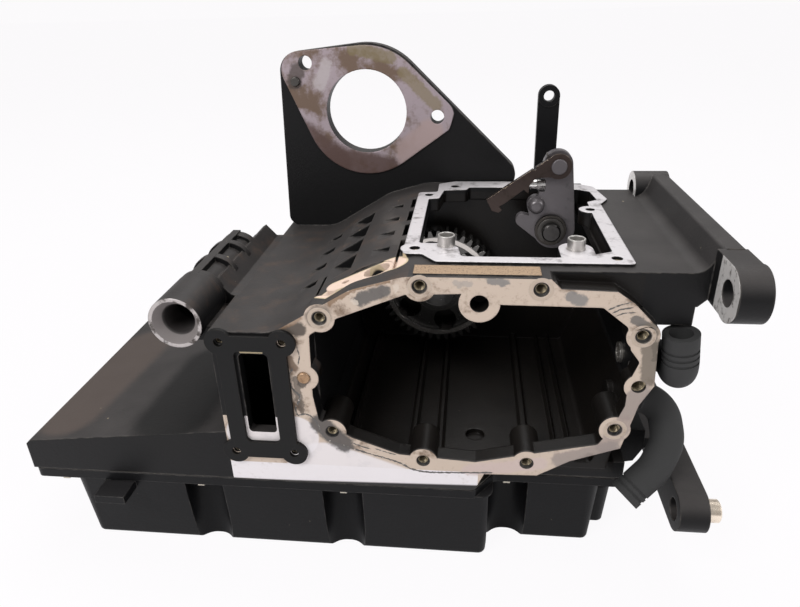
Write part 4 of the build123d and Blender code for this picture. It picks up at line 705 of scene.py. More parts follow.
@dataclass(frozen=True)
class ResidueFinish(Finish):
    """Thin scraped sealer or a stain that lies on bare metal."""

    tone: Colour = (0.10, 0.095, 0.09)
    under: Colour = (0.45, 0.40, 0.34)
    cover: float = 0.75
    scale: float = 420.0
    rough: float = 0.6

    def dress(self, net: Wiring, shader: Node) -> None:
        """Feeds the shader; Args as in Finish.dress."""
        patches = net.mask(GRIME, scale=self.scale, cover=self.cover, softness=0.12)
        marks = net.effect(MARKS, centre=CUTTER_CENTRE, scale=60.0).outputs
        net.feed(shader.inputs["Base Color"], net.blend(patches, self.under, self.tone))
        net.feed(shader.inputs["Roughness"], net.between(patches, 0.5, self.rough))
        normal = net.node("ShaderNodeNewGeometry").outputs["Normal"]
        height = net.plus(patches, net.times(marks["Height"], 0.2))
        self.bump(net, shader, height, SEALER_RELIEF, normal)


CREAM = (0.46, 0.375, 0.305)
CREAM_STAIN = (0.15, 0.10, 0.065)
DARK_DIRT = (0.045, 0.035, 0.028)
BROWN_DIRT = (0.19, 0.115, 0.065)

SIDE_LAND = BareFace(
    (-0.0125, -0.1056, 0.1180), (0.2240, -0.1044, 0.2290), Facing.FRONT, CREAM, CREAM_STAIN, cover=0.46, scale=62.0,
    rough=0.52, shine=0.22,
)
LOWER_LAND = BareFace(
    (-0.0548, -0.1056, 0.0640), (0.2240, -0.1044, 0.1180), Facing.FRONT, CREAM, CREAM_STAIN, cover=0.44, scale=62.0,
    rough=0.52, shine=0.22,
)
SLOT_STRIP = BareFace(
    (-0.0366, -0.1056, 0.1660), (-0.0218, -0.1044, 0.1720), Facing.FRONT, (0.40, 0.33, 0.20), (0.12, 0.085, 0.05),
    cover=0.40, scale=300.0,
)
CLEAN_STRIP = BareFace(
    (-0.0548, -0.1056, 0.0640), (0.1140, -0.1044, 0.0800), Facing.FRONT, (0.64, 0.61, 0.62), (0.42, 0.38, 0.35),
    cover=0.22, scale=120.0, rough=0.42, shine=0.25,
)
TOP_LAND = BareFace(
    (0.0500, -0.1040, 0.2212), (0.2200, 0.1040, 0.2228), Facing.UP, (0.56, 0.535, 0.545), (0.20, 0.185, 0.185),
    cover=0.44, scale=80.0, rough=0.40, shine=0.35,
)
NUMBER_PAD = BareFace(
    (0.0715, -0.1035, 0.2202), (0.1475, -0.0875, 0.2225), Facing.UP, (0.30, 0.205, 0.125), (0.10, 0.06, 0.035),
    cover=0.50, scale=900.0, rough=0.6, shine=0.1,
)
STARTER_PAD = BareFace(
    (-0.0600, 0.0936, 0.2100), (0.1000, 0.0954, 0.3450), Facing.FRONT, (0.31, 0.255, 0.275), (0.13, 0.085, 0.06),
    cover=0.60, scale=45.0, rough=0.5, shine=0.25,
)
PIVOT_MOUTH = BareFace(
    (-0.1000, -0.0990, 0.1600), (-0.0580, -0.0900, 0.2050), Facing.FRONT, (0.42, 0.39, 0.38), (0.07, 0.06, 0.055),
    cover=0.55, scale=140.0, rough=0.4, shine=0.6,
)
FRONT_BOSS = BareFace(
    (0.2400, -0.1310, 0.2020), (0.2420, -0.1010, 0.2350), Facing.LEFT, (0.62, 0.60, 0.58), (0.10, 0.09, 0.08),
    cover=0.45, scale=200.0, rough=0.4, shine=0.5,
)
BACK_BOSS = BareFace(
    (0.2305, 0.0560, 0.2070), (0.2325, 0.0880, 0.2370), Facing.LEFT, (0.66, 0.64, 0.62), (0.12, 0.10, 0.09),
    cover=0.35, scale=200.0, rough=0.4, shine=0.5,
)
PRIMARY_FACE = BareFace(
    (-0.0560, 0.1076, 0.1060), (0.1440, 0.1084, 0.2240), Facing.BACK, (0.52, 0.49, 0.46), (0.24, 0.19, 0.15),
    cover=0.42, scale=60.0, rough=0.5, shine=0.3,
)


def front(x: float, z: float, y: float = SIDE_FACE_Y) -> Place:
    """Returns the point of a front face at x and z, given in millimetres, in metres."""
    return (x * MM, y, z * MM)


def drawn(y: float, *rows: tuple) -> tuple[Smear, ...]:
    """Places smears on a front face.

    Args:
        y: Where the face lies.
        rows: For each smear X and Z of its start and of its end and its two radii in
            millimetres, its tone, its strength, and True where it is crisp.

    Returns:
        The smears.
    """
    return tuple(
        Smear(front(x, z, y), front(far_x, far_z, y), near * MM, far * MM, *look)
        for x, z, far_x, far_z, near, far, *look in rows
    )


BARE_SILVER = (0.64, 0.61, 0.62)
GREY_PURPLE = (0.22, 0.185, 0.17)
BURNT_BROWN = (0.080, 0.045, 0.038)
GOLD_RIM = (0.34, 0.24, 0.12)
GREY_SPOT = (0.16, 0.155, 0.15)
PALE_SPOT = (0.52, 0.45, 0.38)
SOOT_AND_SHADE = (0.010, 0.009, 0.009)

# Clean and sooty ground of the lower left, then stains along the land, clockwise from the left
SIDE_SMEARS = drawn(
    SIDE_FACE_Y,
    (12.1, 70.1, 60.4, 51.9, 30, 30, BARE_SILVER, 0.85, True),
    (-38.0, 103.0, -7.5, 103.0, 17, 17, BARE_SILVER, 0.8, True),
    (-55.0, 45.0, 114.0, 50.0, 20, 20, SOOT_AND_SHADE, 1.0, True),
    (-12.0, 182.0, 2.6, 184.0, 4, 6, DARK_DIRT, 0.9),
    (-7.1, 186.0, 2.0, 193.0, 3, 5, BROWN_DIRT, 0.7),
    (-5.9, 163.0, -3.1, 157.0, 4, 4, (0.10, 0.06, 0.035), 0.85),
    (4.7, 149.2, 1.4, 144.6, 3.5, 3.5, DARK_DIRT, 0.85),
    (-2.0, 148.0, -1.0, 124.0, 3, 3, DARK_DIRT, 0.7),
    (10.5, 114.0, 25.4, 98.6, 8.5, 8.5, (0.06, 0.054, 0.052), 0.92),
    (17.1, 193.5, 14.0, 192.0, 9, 8, (0.12, 0.095, 0.075), 0.75),
    (23.8, 202.3, 40.0, 212.4, 2.2, 2.2, BROWN_DIRT, 0.85),
    (40.0, 212.4, 58.9, 217.8, 2.2, 2.2, BROWN_DIRT, 0.85),
    (41.9, 204.7, 55.7, 210.8, 5, 5, (0.08, 0.076, 0.074), 0.9),
    (38.3, 203.3, 38.4, 203.4, 2.2, 2.2, PALE_SPOT, 0.8),
    (63.4, 212.9, 63.5, 213.0, 2.4, 2.4, PALE_SPOT, 0.8),
    (98.0, 216.5, 106.0, 216.0, 2.5, 2.5, (0.28, 0.26, 0.24), 0.6),
    (116.9, 219.0, 125.4, 217.3, 3, 3, GREY_SPOT, 0.85),
    (162.0, 209.5, 168.6, 207.5, 4, 4.5, GREY_SPOT, 0.85),
    (199.7, 195.9, 205.0, 192.8, 3.5, 3, (0.09, 0.085, 0.08), 0.85),
    (212.3, 180.0, 213.7, 170.7, 2, 2, DARK_DIRT, 0.85),
    (208.5, 189.7, 212.0, 156.3, 6, 6, (0.12, 0.10, 0.077), 0.85),
    (208.5, 146.2, 202.1, 132.8, 8, 8, GREY_PURPLE, 0.8),
    (202.0, 123.9, 193.2, 106.5, 7.5, 7.5, (0.25, 0.20, 0.18), 0.75),
    (197.0, 105.1, 165.9, 93.7, 7, 7, GREY_PURPLE, 0.8),
    (108.7, 81.9, 153.6, 89.7, 6, 6, (0.45, 0.36, 0.34), 0.7),
)

# Pivot mouth with painted shade in its bore, sensor boss with painted shade in its hole, painted shade on the tank
# skin under the pivot beam, brown dust on the tank skin, and a scuff on the deck
PAINT_SMEARS = (
    Smear((-0.079, -0.0925, 0.182), (-0.079, -0.084, 0.182), 0.0172, 0.0172, (0.20, 0.18, 0.175), 0.85, crisp=True),
    # Painted shade in the pivot bore.
    Smear((-0.079, -0.0895, 0.182), (-0.079, -0.060, 0.182), 0.0118, 0.0110, SOOT_AND_SHADE, 0.8, crisp=True),
    Smear((0.017, -0.090, 0.203), (0.0585, -0.079, 0.217), 0.0075, 0.0105, (0.55, 0.45, 0.30), 0.85, crisp=True),
    Smear((0.017, -0.090, 0.203), (0.0585, -0.079, 0.217), 0.0063, 0.0093, (0.60, 0.46, 0.38), 0.95, crisp=True),
    # Painted shade in the sensor hole.
    Smear((0.0511, -0.081, 0.2072), (0.0490, -0.081, 0.2140), 0.0083, 0.0083, SOOT_AND_SHADE, 0.95, crisp=True),
    # Painted shade under the pivot beam: a near-black stroke on the tank skin that hides the dust there.
    Smear((-0.100, -0.085, 0.099), (-0.098, -0.010, 0.100), 0.036, 0.034, (0.006, 0.0058, 0.0058), 0.85),
    Smear((-0.184, -0.080, 0.091), (-0.178, 0.030, 0.091), 0.026, 0.030, (0.085, 0.064, 0.054), 0.55),
    Smear((0.060, -0.040, 0.222), (0.040, 0.030, 0.222), 0.010, 0.012, (0.10, 0.088, 0.080), 0.35),
)

# Burnt crescent, bare patches and spots of the starter flange, then its golden rim
PAD_SMEARS = drawn(
    STARTER_PAD_Y,
    (-40, 262, -10, 238, 17, 18, BURNT_BROWN, 0.9),
    (-10, 238, 36, 232, 18, 13, BURNT_BROWN, 0.9),
    (56, 246, 71, 262, 17, 14, (0.34, 0.255, 0.245), 0.9),
    (-36, 312, -40, 303, 8, 7, (0.055, 0.04, 0.033), 0.8),
    (10, 328, 40, 321, 6, 6, (0.17, 0.135, 0.065), 0.7),
    (50, 309, 76, 284, 6, 6, (0.19, 0.15, 0.08), 0.7),
    (-12, 316, -18, 302, 6, 7, (0.42, 0.38, 0.38), 0.6),
    (-58.2, 240.1, -41.6, 229.7, 1.6, 1.6, GOLD_RIM, 0.8),
    (-41.6, 229.7, -15.8, 221.9, 1.6, 1.6, GOLD_RIM, 0.8),
    (-15.8, 221.9, 19, 219.3, 1.6, 1.6, GOLD_RIM, 0.8),
    (19, 219.3, 70.8, 231.5, 1.6, 1.6, GOLD_RIM, 0.8),
    (70.8, 231.5, 91.5, 256.4, 1.6, 1.6, GOLD_RIM, 0.8),
)

CASTING = CastingFinish(
    "painted_casting",
    "case_casting",
    "gearbox_case",
    smears=PAINT_SMEARS,
    regions=(
        BareRegion((SIDE_LAND, LOWER_LAND, SLOT_STRIP, CLEAN_STRIP), SIDE_SMEARS),
        BareRegion((TOP_LAND, NUMBER_PAD, STARTER_PAD, PIVOT_MOUTH, FRONT_BOSS, BACK_BOSS, PRIMARY_FACE), PAD_SMEARS),
    ),
    rooms=(
        ((0.0750, -0.1035, 0.0700), (0.2050, 0.0880, 0.2185)), ((0.0120, -0.1035, 0.0700), (0.0750, 0.0880, 0.1800))
    ),
    rust_low=(-0.070, -0.105, 0.150),
    rust_high=(0.070, 0.080, 0.230),
)
FLANK_PAINT = PaintFinish("flank_paint", "case_casting", rough=0.46, dust_and_top_light_share=0.2)
GEAR_AXIS = (0.080, 0.0575, 0.143)
GEAR_STEEL = SteelFinish(
    "oiled_gear",
    "gear_steel",
    "main_drive_gear",
    metal=(0.10, 0.097, 0.093),
    stain=(0.04, 0.036, 0.032),
    rubbed=(0.45, 0.43, 0.40),
    rough=0.24,
    wear=0.9,
    edge=0.0004,
    rings=(
        # The outer ring lightens the tooth tips: rubbed steel and a painted highlight.
        Ring(GEAR_AXIS, (1, 0, 1), 0.0408, 0.0440, (0.52, 0.49, 0.46), 0.2),
        Ring(GEAR_AXIS, (1, 0, 1), 0.0205, 0.0212, (0.20, 0.19, 0.18), 0.2),
        Ring(GEAR_AXIS, (1, 0, 1), 0.0190, 0.0196, (0.20, 0.19, 0.18), 0.2),
    ),
)
SEALER = ResidueFinish(
    "scraped_sealer", "gasket_rubber", tone=(0.075, 0.070, 0.066), under=(0.42, 0.37, 0.32), cover=0.85
)
THREAD_METAL = SteelFinish(
    "thread_flanks", "bolt_steel", metal=(0.40, 0.33, 0.22), stain=(0.10, 0.075, 0.05), rough=0.36, cover=0.55
)
SEAT_METAL = SteelFinish(
    "washer_seat", "bolt_steel", metal=(0.40, 0.325, 0.26), stain=(0.16, 0.11, 0.075), rough=0.48, shine=0.25,
    cover=0.5,
)

FINISHES: tuple[Finish, ...] = (
    CASTING,
    PaintFinish("pan_paint", "pan_casting", "oil_pan", rough=0.40),
    ResidueFinish("fibre_gasket", "gasket_paper", "pan_gasket", tone=(0.05, 0.045, 0.04), under=(0.10, 0.09, 0.075)),
    SteelFinish(
        "dulled_zinc", "bolt_steel", "pan_bolts drain_plug centring_screw centring_locknut lever_clamp_bolt",
        metal=(0.50, 0.46, 0.39), stain=(0.16, 0.12, 0.08), rough=0.38,
    ),
    RubberFinish(
        "frame_gasket_rubber", "gasket_rubber", "spout_gasket", rubber=(0.005, 0.0049, 0.005),
        bloom=(0.10, 0.075, 0.05), rough=0.6, cover=0.22, scale=80.0, bloom_share=0.2, gloss=0.2,
    ),
    SteelFinish(
        "dowel_steel", "dowel_steel", "top_dowels", metal=(0.42, 0.38, 0.36), stain=(0.22, 0.16, 0.13), rough=0.28,
        cover=0.5,
    ),
    SteelFinish(
        "brown_pin", "pin_brown", "cover_pin", metal=(0.33, 0.21, 0.12), stain=(0.15, 0.08, 0.045), rough=0.42,
        shine=0.6, cover=0.6,
    ),
    SteelFinish(
        "black_oxide", "dark_steel", "starter_pin bearing_snap_ring shaft_clip", metal=(0.07, 0.065, 0.06),
        stain=(0.035, 0.03, 0.027), rubbed=(0.3, 0.28, 0.26), rough=0.36, shine=0.7,
    ),
    SteelFinish(
        "brassy_dowel", "engine_dowel_steel", "engine_dowel", metal=(0.80, 0.70, 0.58), stain=(0.44, 0.35, 0.27),
        rough=0.24, cover=0.5,
    ),
    SteelFinish(
        "ground_steel", "bearing_steel", "main_bearing counter_bearing", metal=(0.34, 0.33, 0.32),
        stain=(0.12, 0.10, 0.08), rough=0.22,
    ),
    RubberFinish("seal_rubber", "seal_rubber", "main_seal shift_seal", rubber=(0.022, 0.019, 0.017), rough=0.5),
    SteelFinish(
        "dark_bush", "bush_bronze", "shift_bush", metal=(0.09, 0.065, 0.04), stain=(0.04, 0.03, 0.02),
        rubbed=(0.25, 0.18, 0.1), rough=0.32,
    ),
    SteelFinish(
        "spring_wire", "spring_steel", "centring_spring pawl_spring", metal=(0.17, 0.16, 0.15),
        stain=(0.06, 0.05, 0.045), rough=0.3,
    ),
    SteelFinish(
        "plated_nipple", "nipple_steel", "upper_hose_nipple lower_hose_nipple", metal=(0.38, 0.36, 0.33),
        stain=(0.15, 0.12, 0.09), rough=0.34,
    ),
    RubberFinish(
        "hose_rubber", "hose_rubber", "upper_oil_hose lower_oil_hose", rough=0.16, cover=0.32, scale=45.0,
        bloom_share=0.22,
    ),
    GEAR_STEEL,
    SteelFinish(
        "dark_shaft", "shaft_steel", "shift_shaft", metal=(0.06, 0.057, 0.055), stain=(0.03, 0.027, 0.025),
        rubbed=(0.35, 0.33, 0.31), rough=0.28,
    ),
    SteelFinish(
        "oily_washer", "bolt_steel", "shaft_washer", metal=(0.05, 0.045, 0.04), stain=(0.025, 0.022, 0.02),
        rubbed=(0.2, 0.18, 0.16), rough=0.3,
    ),
    SteelFinish(
        "black_carrier", "carrier_steel", "pawl_carrier pawl_pin", metal=(0.11, 0.10, 0.105),
        stain=(0.05, 0.046, 0.048), rubbed=(0.16, 0.15, 0.14), rough=0.34, shine=0.45, wear=0.35,
    ),
    SteelFinish(
        "bright_screw", "bright_steel", "stop_screw", metal=(0.78, 0.76, 0.74), stain=(0.34, 0.31, 0.29), rough=0.16,
        cover=0.25,
    ),
    PaintFinish(
        "lever_paint", "lever_steel", "outer_shift_lever", rough=0.38, grain_scale=1500.0, grain_depth=0.00004,
        edge=0.0006, wear=0.5,
    ),
    SteelFinish(
        "worn_pawl", "pawl_steel", "shift_pawl", metal=(0.06, 0.045, 0.04), stain=(0.035, 0.027, 0.022),
        rubbed=(0.35, 0.27, 0.20), rough=0.36, scale=110.0, cover=0.5,
    ),
)
NODE_FINISHES = {node: finish for finish in FINISHES for node in finish.nodes.split()}


class MeshDraft:
    """Gathers the points and faces of one new piece."""

    def __init__(self, name: str) -> None:
        """Args:
            name: The piece's name.
        """
        self.name = name
        self.points: list[Vector] = []
        self.faces: list[tuple[int, ...]] = []

    def add(self, points: list[Vector], faces: list[tuple[int, ...]]) -> None:
        """Adds one closed solid.

        Args:
            points: Its corners.
            faces: Its faces, as numbers of those corners.
        """
        start = len(self.points)
        self.points.extend(points)
        self.faces.extend(tuple(start + i for i in face) for face in faces)

    def finish(self, finish: Finish, body: Body, smooth: bool = False) -> None:
        """Makes the piece, dresses it and ties it to its body.

        Args:
            finish: Its material.
            body: What it moves with.
            smooth: True for a rounded look.
        """
        mesh = bpy.data.meshes.new(self.name)
        mesh.from_pydata([tuple(p) for p in self.points], [], self.faces)
        mesh.validate()
        mesh.polygons.foreach_set("use_smooth", [smooth] * len(mesh.polygons))
        made = bpy.data.objects.new(self.name, mesh)
        bpy.context.scene.collection.objects.link(made)
        made.data.materials.append(finish.material())
        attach(made, body.value)
        LOG.info("%s: %d faces on %s", self.name, len(self.faces), body.value)


def strip_solid(left: list[Vector], right: list[Vector], lift: Vector) -> Solid:
    """Makes a thin closed strip between two lines of points.

    Args:
        left: Points of one long edge, on the surface that it lies on.
        right: As many points of the other edge.
        lift: How far its outer face stands off.

    Returns:
        The points and the faces.
    """
    count = len(left)
    points = [*left, *right, *(p + lift for p in left), *(p + lift for p in right)]
    faces: list[tuple[int, ...]] = []
    for i in range(count - 1):
        a, b, c, d = i, i + 1, count + i + 1, count + i
        faces.append((a, b, c, d))
        faces.append((2 * count + d, 2 * count + c, 2 * count + b, 2 * count + a))
        faces.append((a, 2 * count + a, 2 * count + b, b))
        faces.append((c, 2 * count + c, 2 * count + d, d))
    last = count - 1
    faces.append((0, count, 3 * count, 2 * count))
    faces.append((last, 2 * count + last, 3 * count + last, count + last))
    return points, faces


def lathe_solid(profile: list[tuple[float, float]], steps: int) -> Solid:
    """Turns a closed profile round the local Z axis.

    Args:
        profile: Radius and height of each corner, in order round the section.
        steps: How many flats the circle has.

    Returns:
        The points and the faces of a ring.
    """
    points: list[Vector] = []
    faces: list[tuple[int, ...]] = []
    count = len(profile)
    for step in range(steps):
        angle = math.tau * step / steps
        points.extend(Vector((r * math.cos(angle), r * math.sin(angle), z)) for r, z in profile)
    for step in range(steps):
        here, there = step * count, ((step + 1) % steps) * count
        for i in range(count):
            j = (i + 1) % count
            faces.append((here + i, there + i, there + j, here + j))
    return points, faces


def facing_matrix(centre: Place, direction: Place) -> Matrix:
    """Returns the placing of a piece whose local Z looks in a direction from a centre."""
    turn = Vector(direction).to_track_quat("Z", "Y").to_matrix().to_4x4()
    return Matrix.Translation(Vector(centre)) @ turn


@dataclass
class TappedHoles:
    """Screw threads cut into the walls of a row of plain holes."""

    name: str
    holes: tuple[Place, ...]
    direction: Place
    radius: float
    pitch: float = 0.00125
    depth: float = 0.013
    start: float = 0.0015
    sunk: float = 0.00008
    flank: float = 0.42
    crest: float = 0.18
    steps: int = 20

    def ridge(self) -> Solid:
        """Builds one helical ridge about the local Z axis.

        Returns:
            The points and the faces.
        """
        turns = self.depth / self.pitch
        count = int(turns * self.steps)
        half = self.pitch * self.flank
        outer, inner = self.radius + self.sunk, self.radius - half
        section = [(outer, -half), (inner, -half * self.crest), (inner, half * self.crest), (outer, half)]
        points: list[Vector] = []
        faces: list[tuple[int, ...]] = []
        for i in range(count + 1):
            angle = math.tau * i / self.steps
            drop = -self.start - self.pitch * i / self.steps
            points.extend(Vector((r * math.cos(angle), r * math.sin(angle), drop + h)) for r, h in section)
        for i in range(count):
            here, there = 4 * i, 4 * (i + 1)
            for k in range(4):
                j = (k + 1) % 4
                faces.append((here + k, here + j, there + j, there + k))
        faces.append((0, 3, 2, 1))
        last = 4 * count
        faces.append((last, last + 1, last + 2, last + 3))
        return points, faces

    def build(self) -> None:
        """Makes the threads of all the holes as one piece."""
        draft = MeshDraft(self.name)
        points, faces = self.ridge()
        for centre in self.holes:
            place = facing_matrix(centre, self.direction)
            draft.add([place @ p for p in points], faces)
        draft.finish(THREAD_METAL, Body.HOUSING, smooth=True)


@dataclass
class SeatRings:
    """Thin rings that bolt heads and washers rubbed round their holes."""

    name: str
    seats: tuple[tuple[Place, float, float], ...]
    direction: Place
    lift: float = 0.00005
    sunk: float = 0.0002
    steps: int = 40

    def build(self) -> None:
        """Makes all the rings as one piece."""
        draft = MeshDraft(self.name)
        for centre, inner, outer in self.seats:
            place = facing_matrix(centre, self.direction)
            profile = [(inner, self.lift), (inner, -self.sunk), (outer, -self.sunk), (outer, self.lift)]
            points, faces = lathe_solid(profile, self.steps)
            draft.add([place @ p for p in points], faces)
        draft.finish(SEAT_METAL, Body.HOUSING)


@dataclass
class SealerResidue:
    """Lines of old sealer on the side face: two prints of the cover's edge, then the scrapes.

    Each line has its width and its points, in millimetres.
    """

    lines: tuple[tuple[float, Outline], ...] = (
        (
            1.1,
            (
                (-4.5, 128.0), (-3.7, 120.5), (2.6, 121.4), (8.0, 116.0), (10.4, 108.5), (14.6, 101.6), (22.7, 98.2),
                (38.5, 92.7), (61.0, 85.6), (70.5, 80.2), (82.3, 78.4), (102.2, 79.3), (124.0, 80.6),
            ),
        ),
        (1.3, ((-3.5, 156.0), (-6.5, 150.3), (-5.5, 141.3), (-1.0, 135.4), (-3.6, 127.5))),
        (0.9, ((183.6, 201.8), (189.0, 204.6), (197.0, 207.2))),
        (0.8, ((186.0, 199.6), (191.0, 202.3), (198.0, 203.8))),
        (0.7, ((188.0, 197.8), (193.0, 200.0), (199.6, 200.6))),
        (0.7, ((201.0, 189.0), (207.0, 191.6), (212.0, 189.6))),
        (0.8, ((31.0, 100.0), (37.0, 97.4), (44.0, 95.2))),
        (0.7, ((46.0, 96.0), (54.0, 93.2), (61.0, 91.5))),
        (0.7, ((0.5, 172.0), (1.5, 165.0), (0.0, 158.0))),
    )
    lift: float = 0.00005
    sunk: float = 0.0001
    seed: int = 7

    def smooth_line(self, points: Outline) -> list[Vector]:
        """Runs a smooth line through points.

        Args:
            points: X and Z of each point, in millimetres.

        Returns:
            Points about every millimetre, on the side face, in metres.
        """
        anchors = [Vector((x, 0.0, z)) for x, z in points]
        anchors = [anchors[0], *anchors, anchors[-1]]
        line: list[Vector] = []
        for i in range(1, len(anchors) - 2):
            a, b, c, d = anchors[i - 1 : i + 3]
            count = max(2, int((c - b).length))
            for k in range(count):
                t = k / count
                p = 0.5 * (
                    (2 * b) + (c - a) * t + (2 * a - 5 * b + 4 * c - d) * t * t + (3 * b - a - 3 * c + d) * t**3
                )
                line.append(Vector(front(p.x, p.z)))
        return line

    def build(self) -> None:
        """Makes all the lines as one piece."""
        chance = random.Random(self.seed)
        draft = MeshDraft("sealer_residue")
        inward = Vector((0, self.sunk, 0))
        for width, points in self.lines:
            line = self.smooth_line(points)
            left: list[Vector] = []
            right: list[Vector] = []
            for i, p in enumerate(line):
                ahead = line[min(i + 1, len(line) - 1)] - line[max(i - 1, 0)]
                side = Vector((-ahead.z, 0.0, ahead.x)).normalized()
                taper = min(1.0, 0.25 + 0.4 * min(i, len(line) - 1 - i))
                half = width * MM / 2 * taper
                left.append(p + side * half * chance.uniform(0.5, 1.6) + inward)
                right.append(p - side * half * chance.uniform(0.5, 1.6) + inward)
            solid, faces = strip_solid(left, right, Vector((0, -self.lift - self.sunk, 0)))
            draft.add(solid, faces)
        draft.finish(SEALER, Body.HOUSING)


@dataclass
class CastFlanks:
    """Short cast walls that close the gaps behind the right edge of the side face."""

    walls: tuple[tuple[Outline, float, float], ...] = (
        (((203.0, 66.0), (221.0, 70.0), (227.0, 82.0), (226.0, 96.0), (203.0, 98.0)), -73.0, -42.0),
        (((208.0, 124.0), (215.0, 127.0), (218.0, 146.0), (216.5, 162.0), (208.0, 168.0)), -92.0, -79.0),
    )

    def build(self) -> None:
        """Makes the walls as one piece."""
        draft = MeshDraft("cast_flanks")
        for outline, near, far in self.walls:
            count = len(outline)
            points = [Vector(front(x, z, y * MM)) for y in (near, far) for x, z in outline]
            sides = [(i, i + count, (i + 1) % count + count, (i + 1) % count) for i in range(count)]
            draft.add(points, [tuple(range(count)), tuple(range(2 * count - 1, count - 1, -1)), *sides])
        draft.finish(FLANK_PAINT, Body.HOUSING)


@dataclass
class HousingDetails:
    """Threads, washer prints, sealer and flanks that the bare casting carries."""

    cover_holes: Outline = (
        (16.3, 191.8), (76.9, 214.0), (145.9, 213.5), (205.2, 185.3),
        (197.0, 119.1), (145.0, 89.6), (77.8, 87.7), (18.2, 108.2),
    )
    wide_hole: tuple[float, float] = (207.1, 151.1)
    top_holes: Outline = ((71.0, -64.0), (72.5, 53.5), (92.4, 78.3), (191.3, 17.8), (191.8, -76.9))
    spout_holes: Outline = ((-48.5, 174.5), (-8.5, 174.5), (-48.5, 90.5), (-8.5, 90.5))
    bolt_r: float = 0.0033
    wide_bolt_r: float = 0.00425
    spout_bolt_r: float = 0.0025
    shallow: float = 0.009
    washer_inner_r: float = 0.0050
    washer_outer_r: float = 0.0072
    printed_holes: int = 5

    def build(self) -> None:
        """Makes the threads, the rings, the sealer lines and the flanks."""
        ahead, up = Facing.FRONT.value, Facing.UP.value
        side = tuple(front(x, z) for x, z in self.cover_holes)
        TappedHoles("side_threads", side, ahead, self.bolt_r).build()
        TappedHoles("wide_bolt_thread", (front(*self.wide_hole),), ahead, self.wide_bolt_r, pitch=0.0015).build()
        top = tuple((x * MM, y * MM, TOP_LAND_Z) for x, y in self.top_holes)
        TappedHoles("top_threads", top, up, self.bolt_r, depth=self.shallow).build()
        spout = tuple(front(x, z) for x, z in self.spout_holes)
        TappedHoles("spout_threads", spout, ahead, self.spout_bolt_r, pitch=0.0008, depth=self.shallow).build()
        seats = tuple((place, self.washer_inner_r, self.washer_outer_r) for place in side[: self.printed_holes])
        SeatRings("washer_prints", seats, ahead).build()
        SealerResidue().build()
        CastFlanks().build()


@dataclass
class PackedParts:
    """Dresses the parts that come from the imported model."""

    finishes: dict[str, Finish]

    def build(self) -> None:
        """Gives every node its material."""
        for name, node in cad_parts.items():
            finish = self.finishes[name]
            node.data.materials.clear()
            node.data.materials.append(finish.material())
            LOG.info("%s wears %s", name, finish.name)


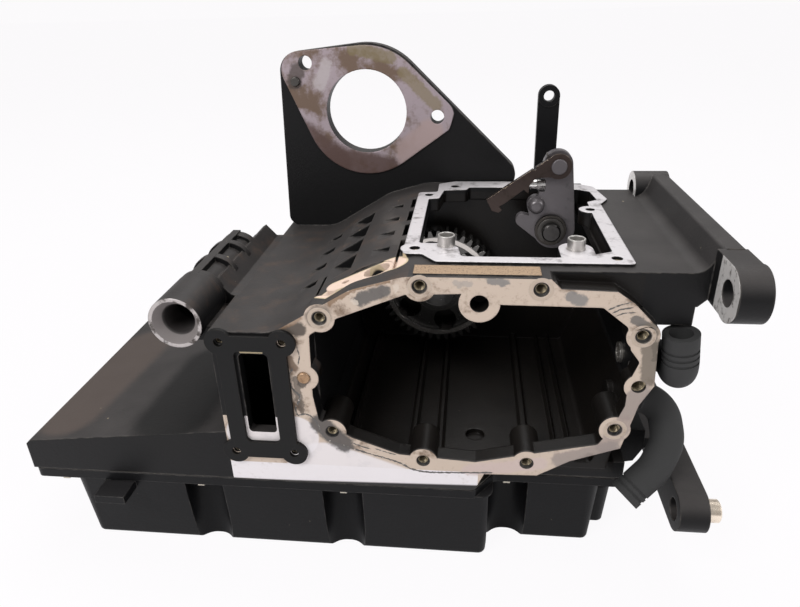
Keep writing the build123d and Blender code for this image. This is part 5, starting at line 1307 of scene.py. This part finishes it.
@dataclass
class Studio:
    """Pale floor, plain light and the camera of the photograph."""

    floor_size: float = 30.0
    floor_colour: Colour = (0.86, 0.845, 0.87)
    floor_glow: Colour = (0.985, 0.972, 0.985)
    floor_glow_share: float = 0.96
    sky_colour: Colour = (0.968, 0.956, 0.968)
    sky_share: float = 0.42
    lens: float = 28.575
    place: Place = (0.1044, -0.4361, 0.3648)
    yaw: float = 0.1171
    pitch: float = 0.4519
    roll: float = 0.0291
    lamps: tuple[tuple[str, Place, Place, float, float], ...] = (
        ("key_panel", (-0.9, -1.3, 1.5), (0.03, 0.0, 0.12), 0.9, 34.0),
        ("side_panel", (1.5, -0.6, 1.1), (0.05, 0.0, 0.1), 0.9, 12.0),
        ("top_panel", (0.1, 0.7, 1.8), (0.05, 0.0, 0.15), 1.2, 26.0),
    )

    def floor(self) -> None:
        """Makes the floor, which shows the camera a white ground with a faint shadow."""
        half = self.floor_size / 2
        mesh = bpy.data.meshes.new("floor")
        mesh.from_pydata([(-half, -half, 0), (half, -half, 0), (half, half, 0), (-half, half, 0)], [], [(0, 1, 2, 3)])
        made = bpy.data.objects.new("floor", mesh)
        bpy.context.scene.collection.objects.link(made)
        paper = bpy.data.materials.new("white_paper")
        paper.use_nodes = True
        paper.node_tree.nodes.clear()
        net = Wiring(paper.node_tree)
        matt = net.node("ShaderNodeBsdfDiffuse", {"Color": self.floor_colour})
        glow = net.node("ShaderNodeEmission", {"Color": self.floor_glow, "Strength": 1.0})
        path = net.node("ShaderNodeLightPath").outputs
        seen = net.math("MAXIMUM", path["Is Camera Ray"], net.times(path["Is Glossy Ray"], 0.5))
        share = net.times(seen, self.floor_glow_share)
        mixed = net.node("ShaderNodeMixShader", {0: share, 1: matt.outputs[0], 2: glow.outputs[0]})
        net.node("ShaderNodeOutputMaterial", {"Surface": mixed.outputs[0]})
        made.data.materials.append(paper)

    def sky(self) -> None:
        """Makes the white surround: full white where it is seen, softer as light."""
        world = bpy.data.worlds.new("white_surround")
        bpy.context.scene.world = world
        world.use_nodes = True
        world.node_tree.nodes.clear()
        net = Wiring(world.node_tree)
        path = net.node("ShaderNodeLightPath").outputs
        strength = net.between(path["Is Camera Ray"], self.sky_share, 1.0)
        glow = net.node("ShaderNodeBackground", {"Color": self.sky_colour, "Strength": strength})
        net.node("ShaderNodeOutputWorld", {"Surface": glow.outputs[0]})

    def lamp(self, name: str, place: Place, aim: Place, size: float, power: float) -> None:
        """Hangs one soft panel.

        Args:
            name: The lamp's name.
            place: Where it hangs.
            aim: The point that it faces.
            size: Its width and height.
            power: Its power in watts.
        """
        light = bpy.data.lights.new(name, "AREA")
        light.shape = "SQUARE"
        light.size = size
        light.energy = power
        made = bpy.data.objects.new(name, light)
        bpy.context.scene.collection.objects.link(made)
        made.location = place
        made.rotation_mode = "QUATERNION"
        made.rotation_quaternion = (Vector(aim) - Vector(place)).to_track_quat("-Z", "Y")

    def camera(self) -> None:
        """Sets up the camera at the photograph's viewpoint."""
        lens = bpy.data.cameras.new("photo_camera")
        lens.lens = self.lens
        lens.sensor_width = 36.0
        lens.clip_start, lens.clip_end = 0.01, 100.0
        made = bpy.data.objects.new("photo_camera", lens)
        bpy.context.scene.collection.objects.link(made)
        reach = math.cos(self.pitch)
        ahead = Vector((-math.sin(self.yaw) * reach, math.cos(self.yaw) * reach, -math.sin(self.pitch)))
        level = Vector((math.cos(self.yaw), math.sin(self.yaw), 0.0))
        above = level.cross(ahead)
        right = level * math.cos(self.roll) - above * math.sin(self.roll)
        up = right.cross(ahead)
        turn = Matrix((right, up, -ahead)).transposed().to_4x4()
        made.matrix_world = Matrix.Translation(Vector(self.place)) @ turn
        bpy.context.scene.camera = made

    def build(self) -> None:
        """Makes the floor, the surround, the lamps and the camera."""
        self.floor()
        self.sky()
        for name, place, aim, size, power in self.lamps:
            self.lamp(name, place, aim, size, power)
        self.camera()
        bpy.context.scene.view_settings.view_transform = "Standard"


def main() -> None:
    """Builds the scene."""
    logging.basicConfig(level=logging.INFO, format="%(name)s: %(message)s")
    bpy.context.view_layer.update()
    PackedParts(NODE_FINISHES).build()
    HousingDetails().build()
    Studio().build()


if __name__ == "__main__":
    main()
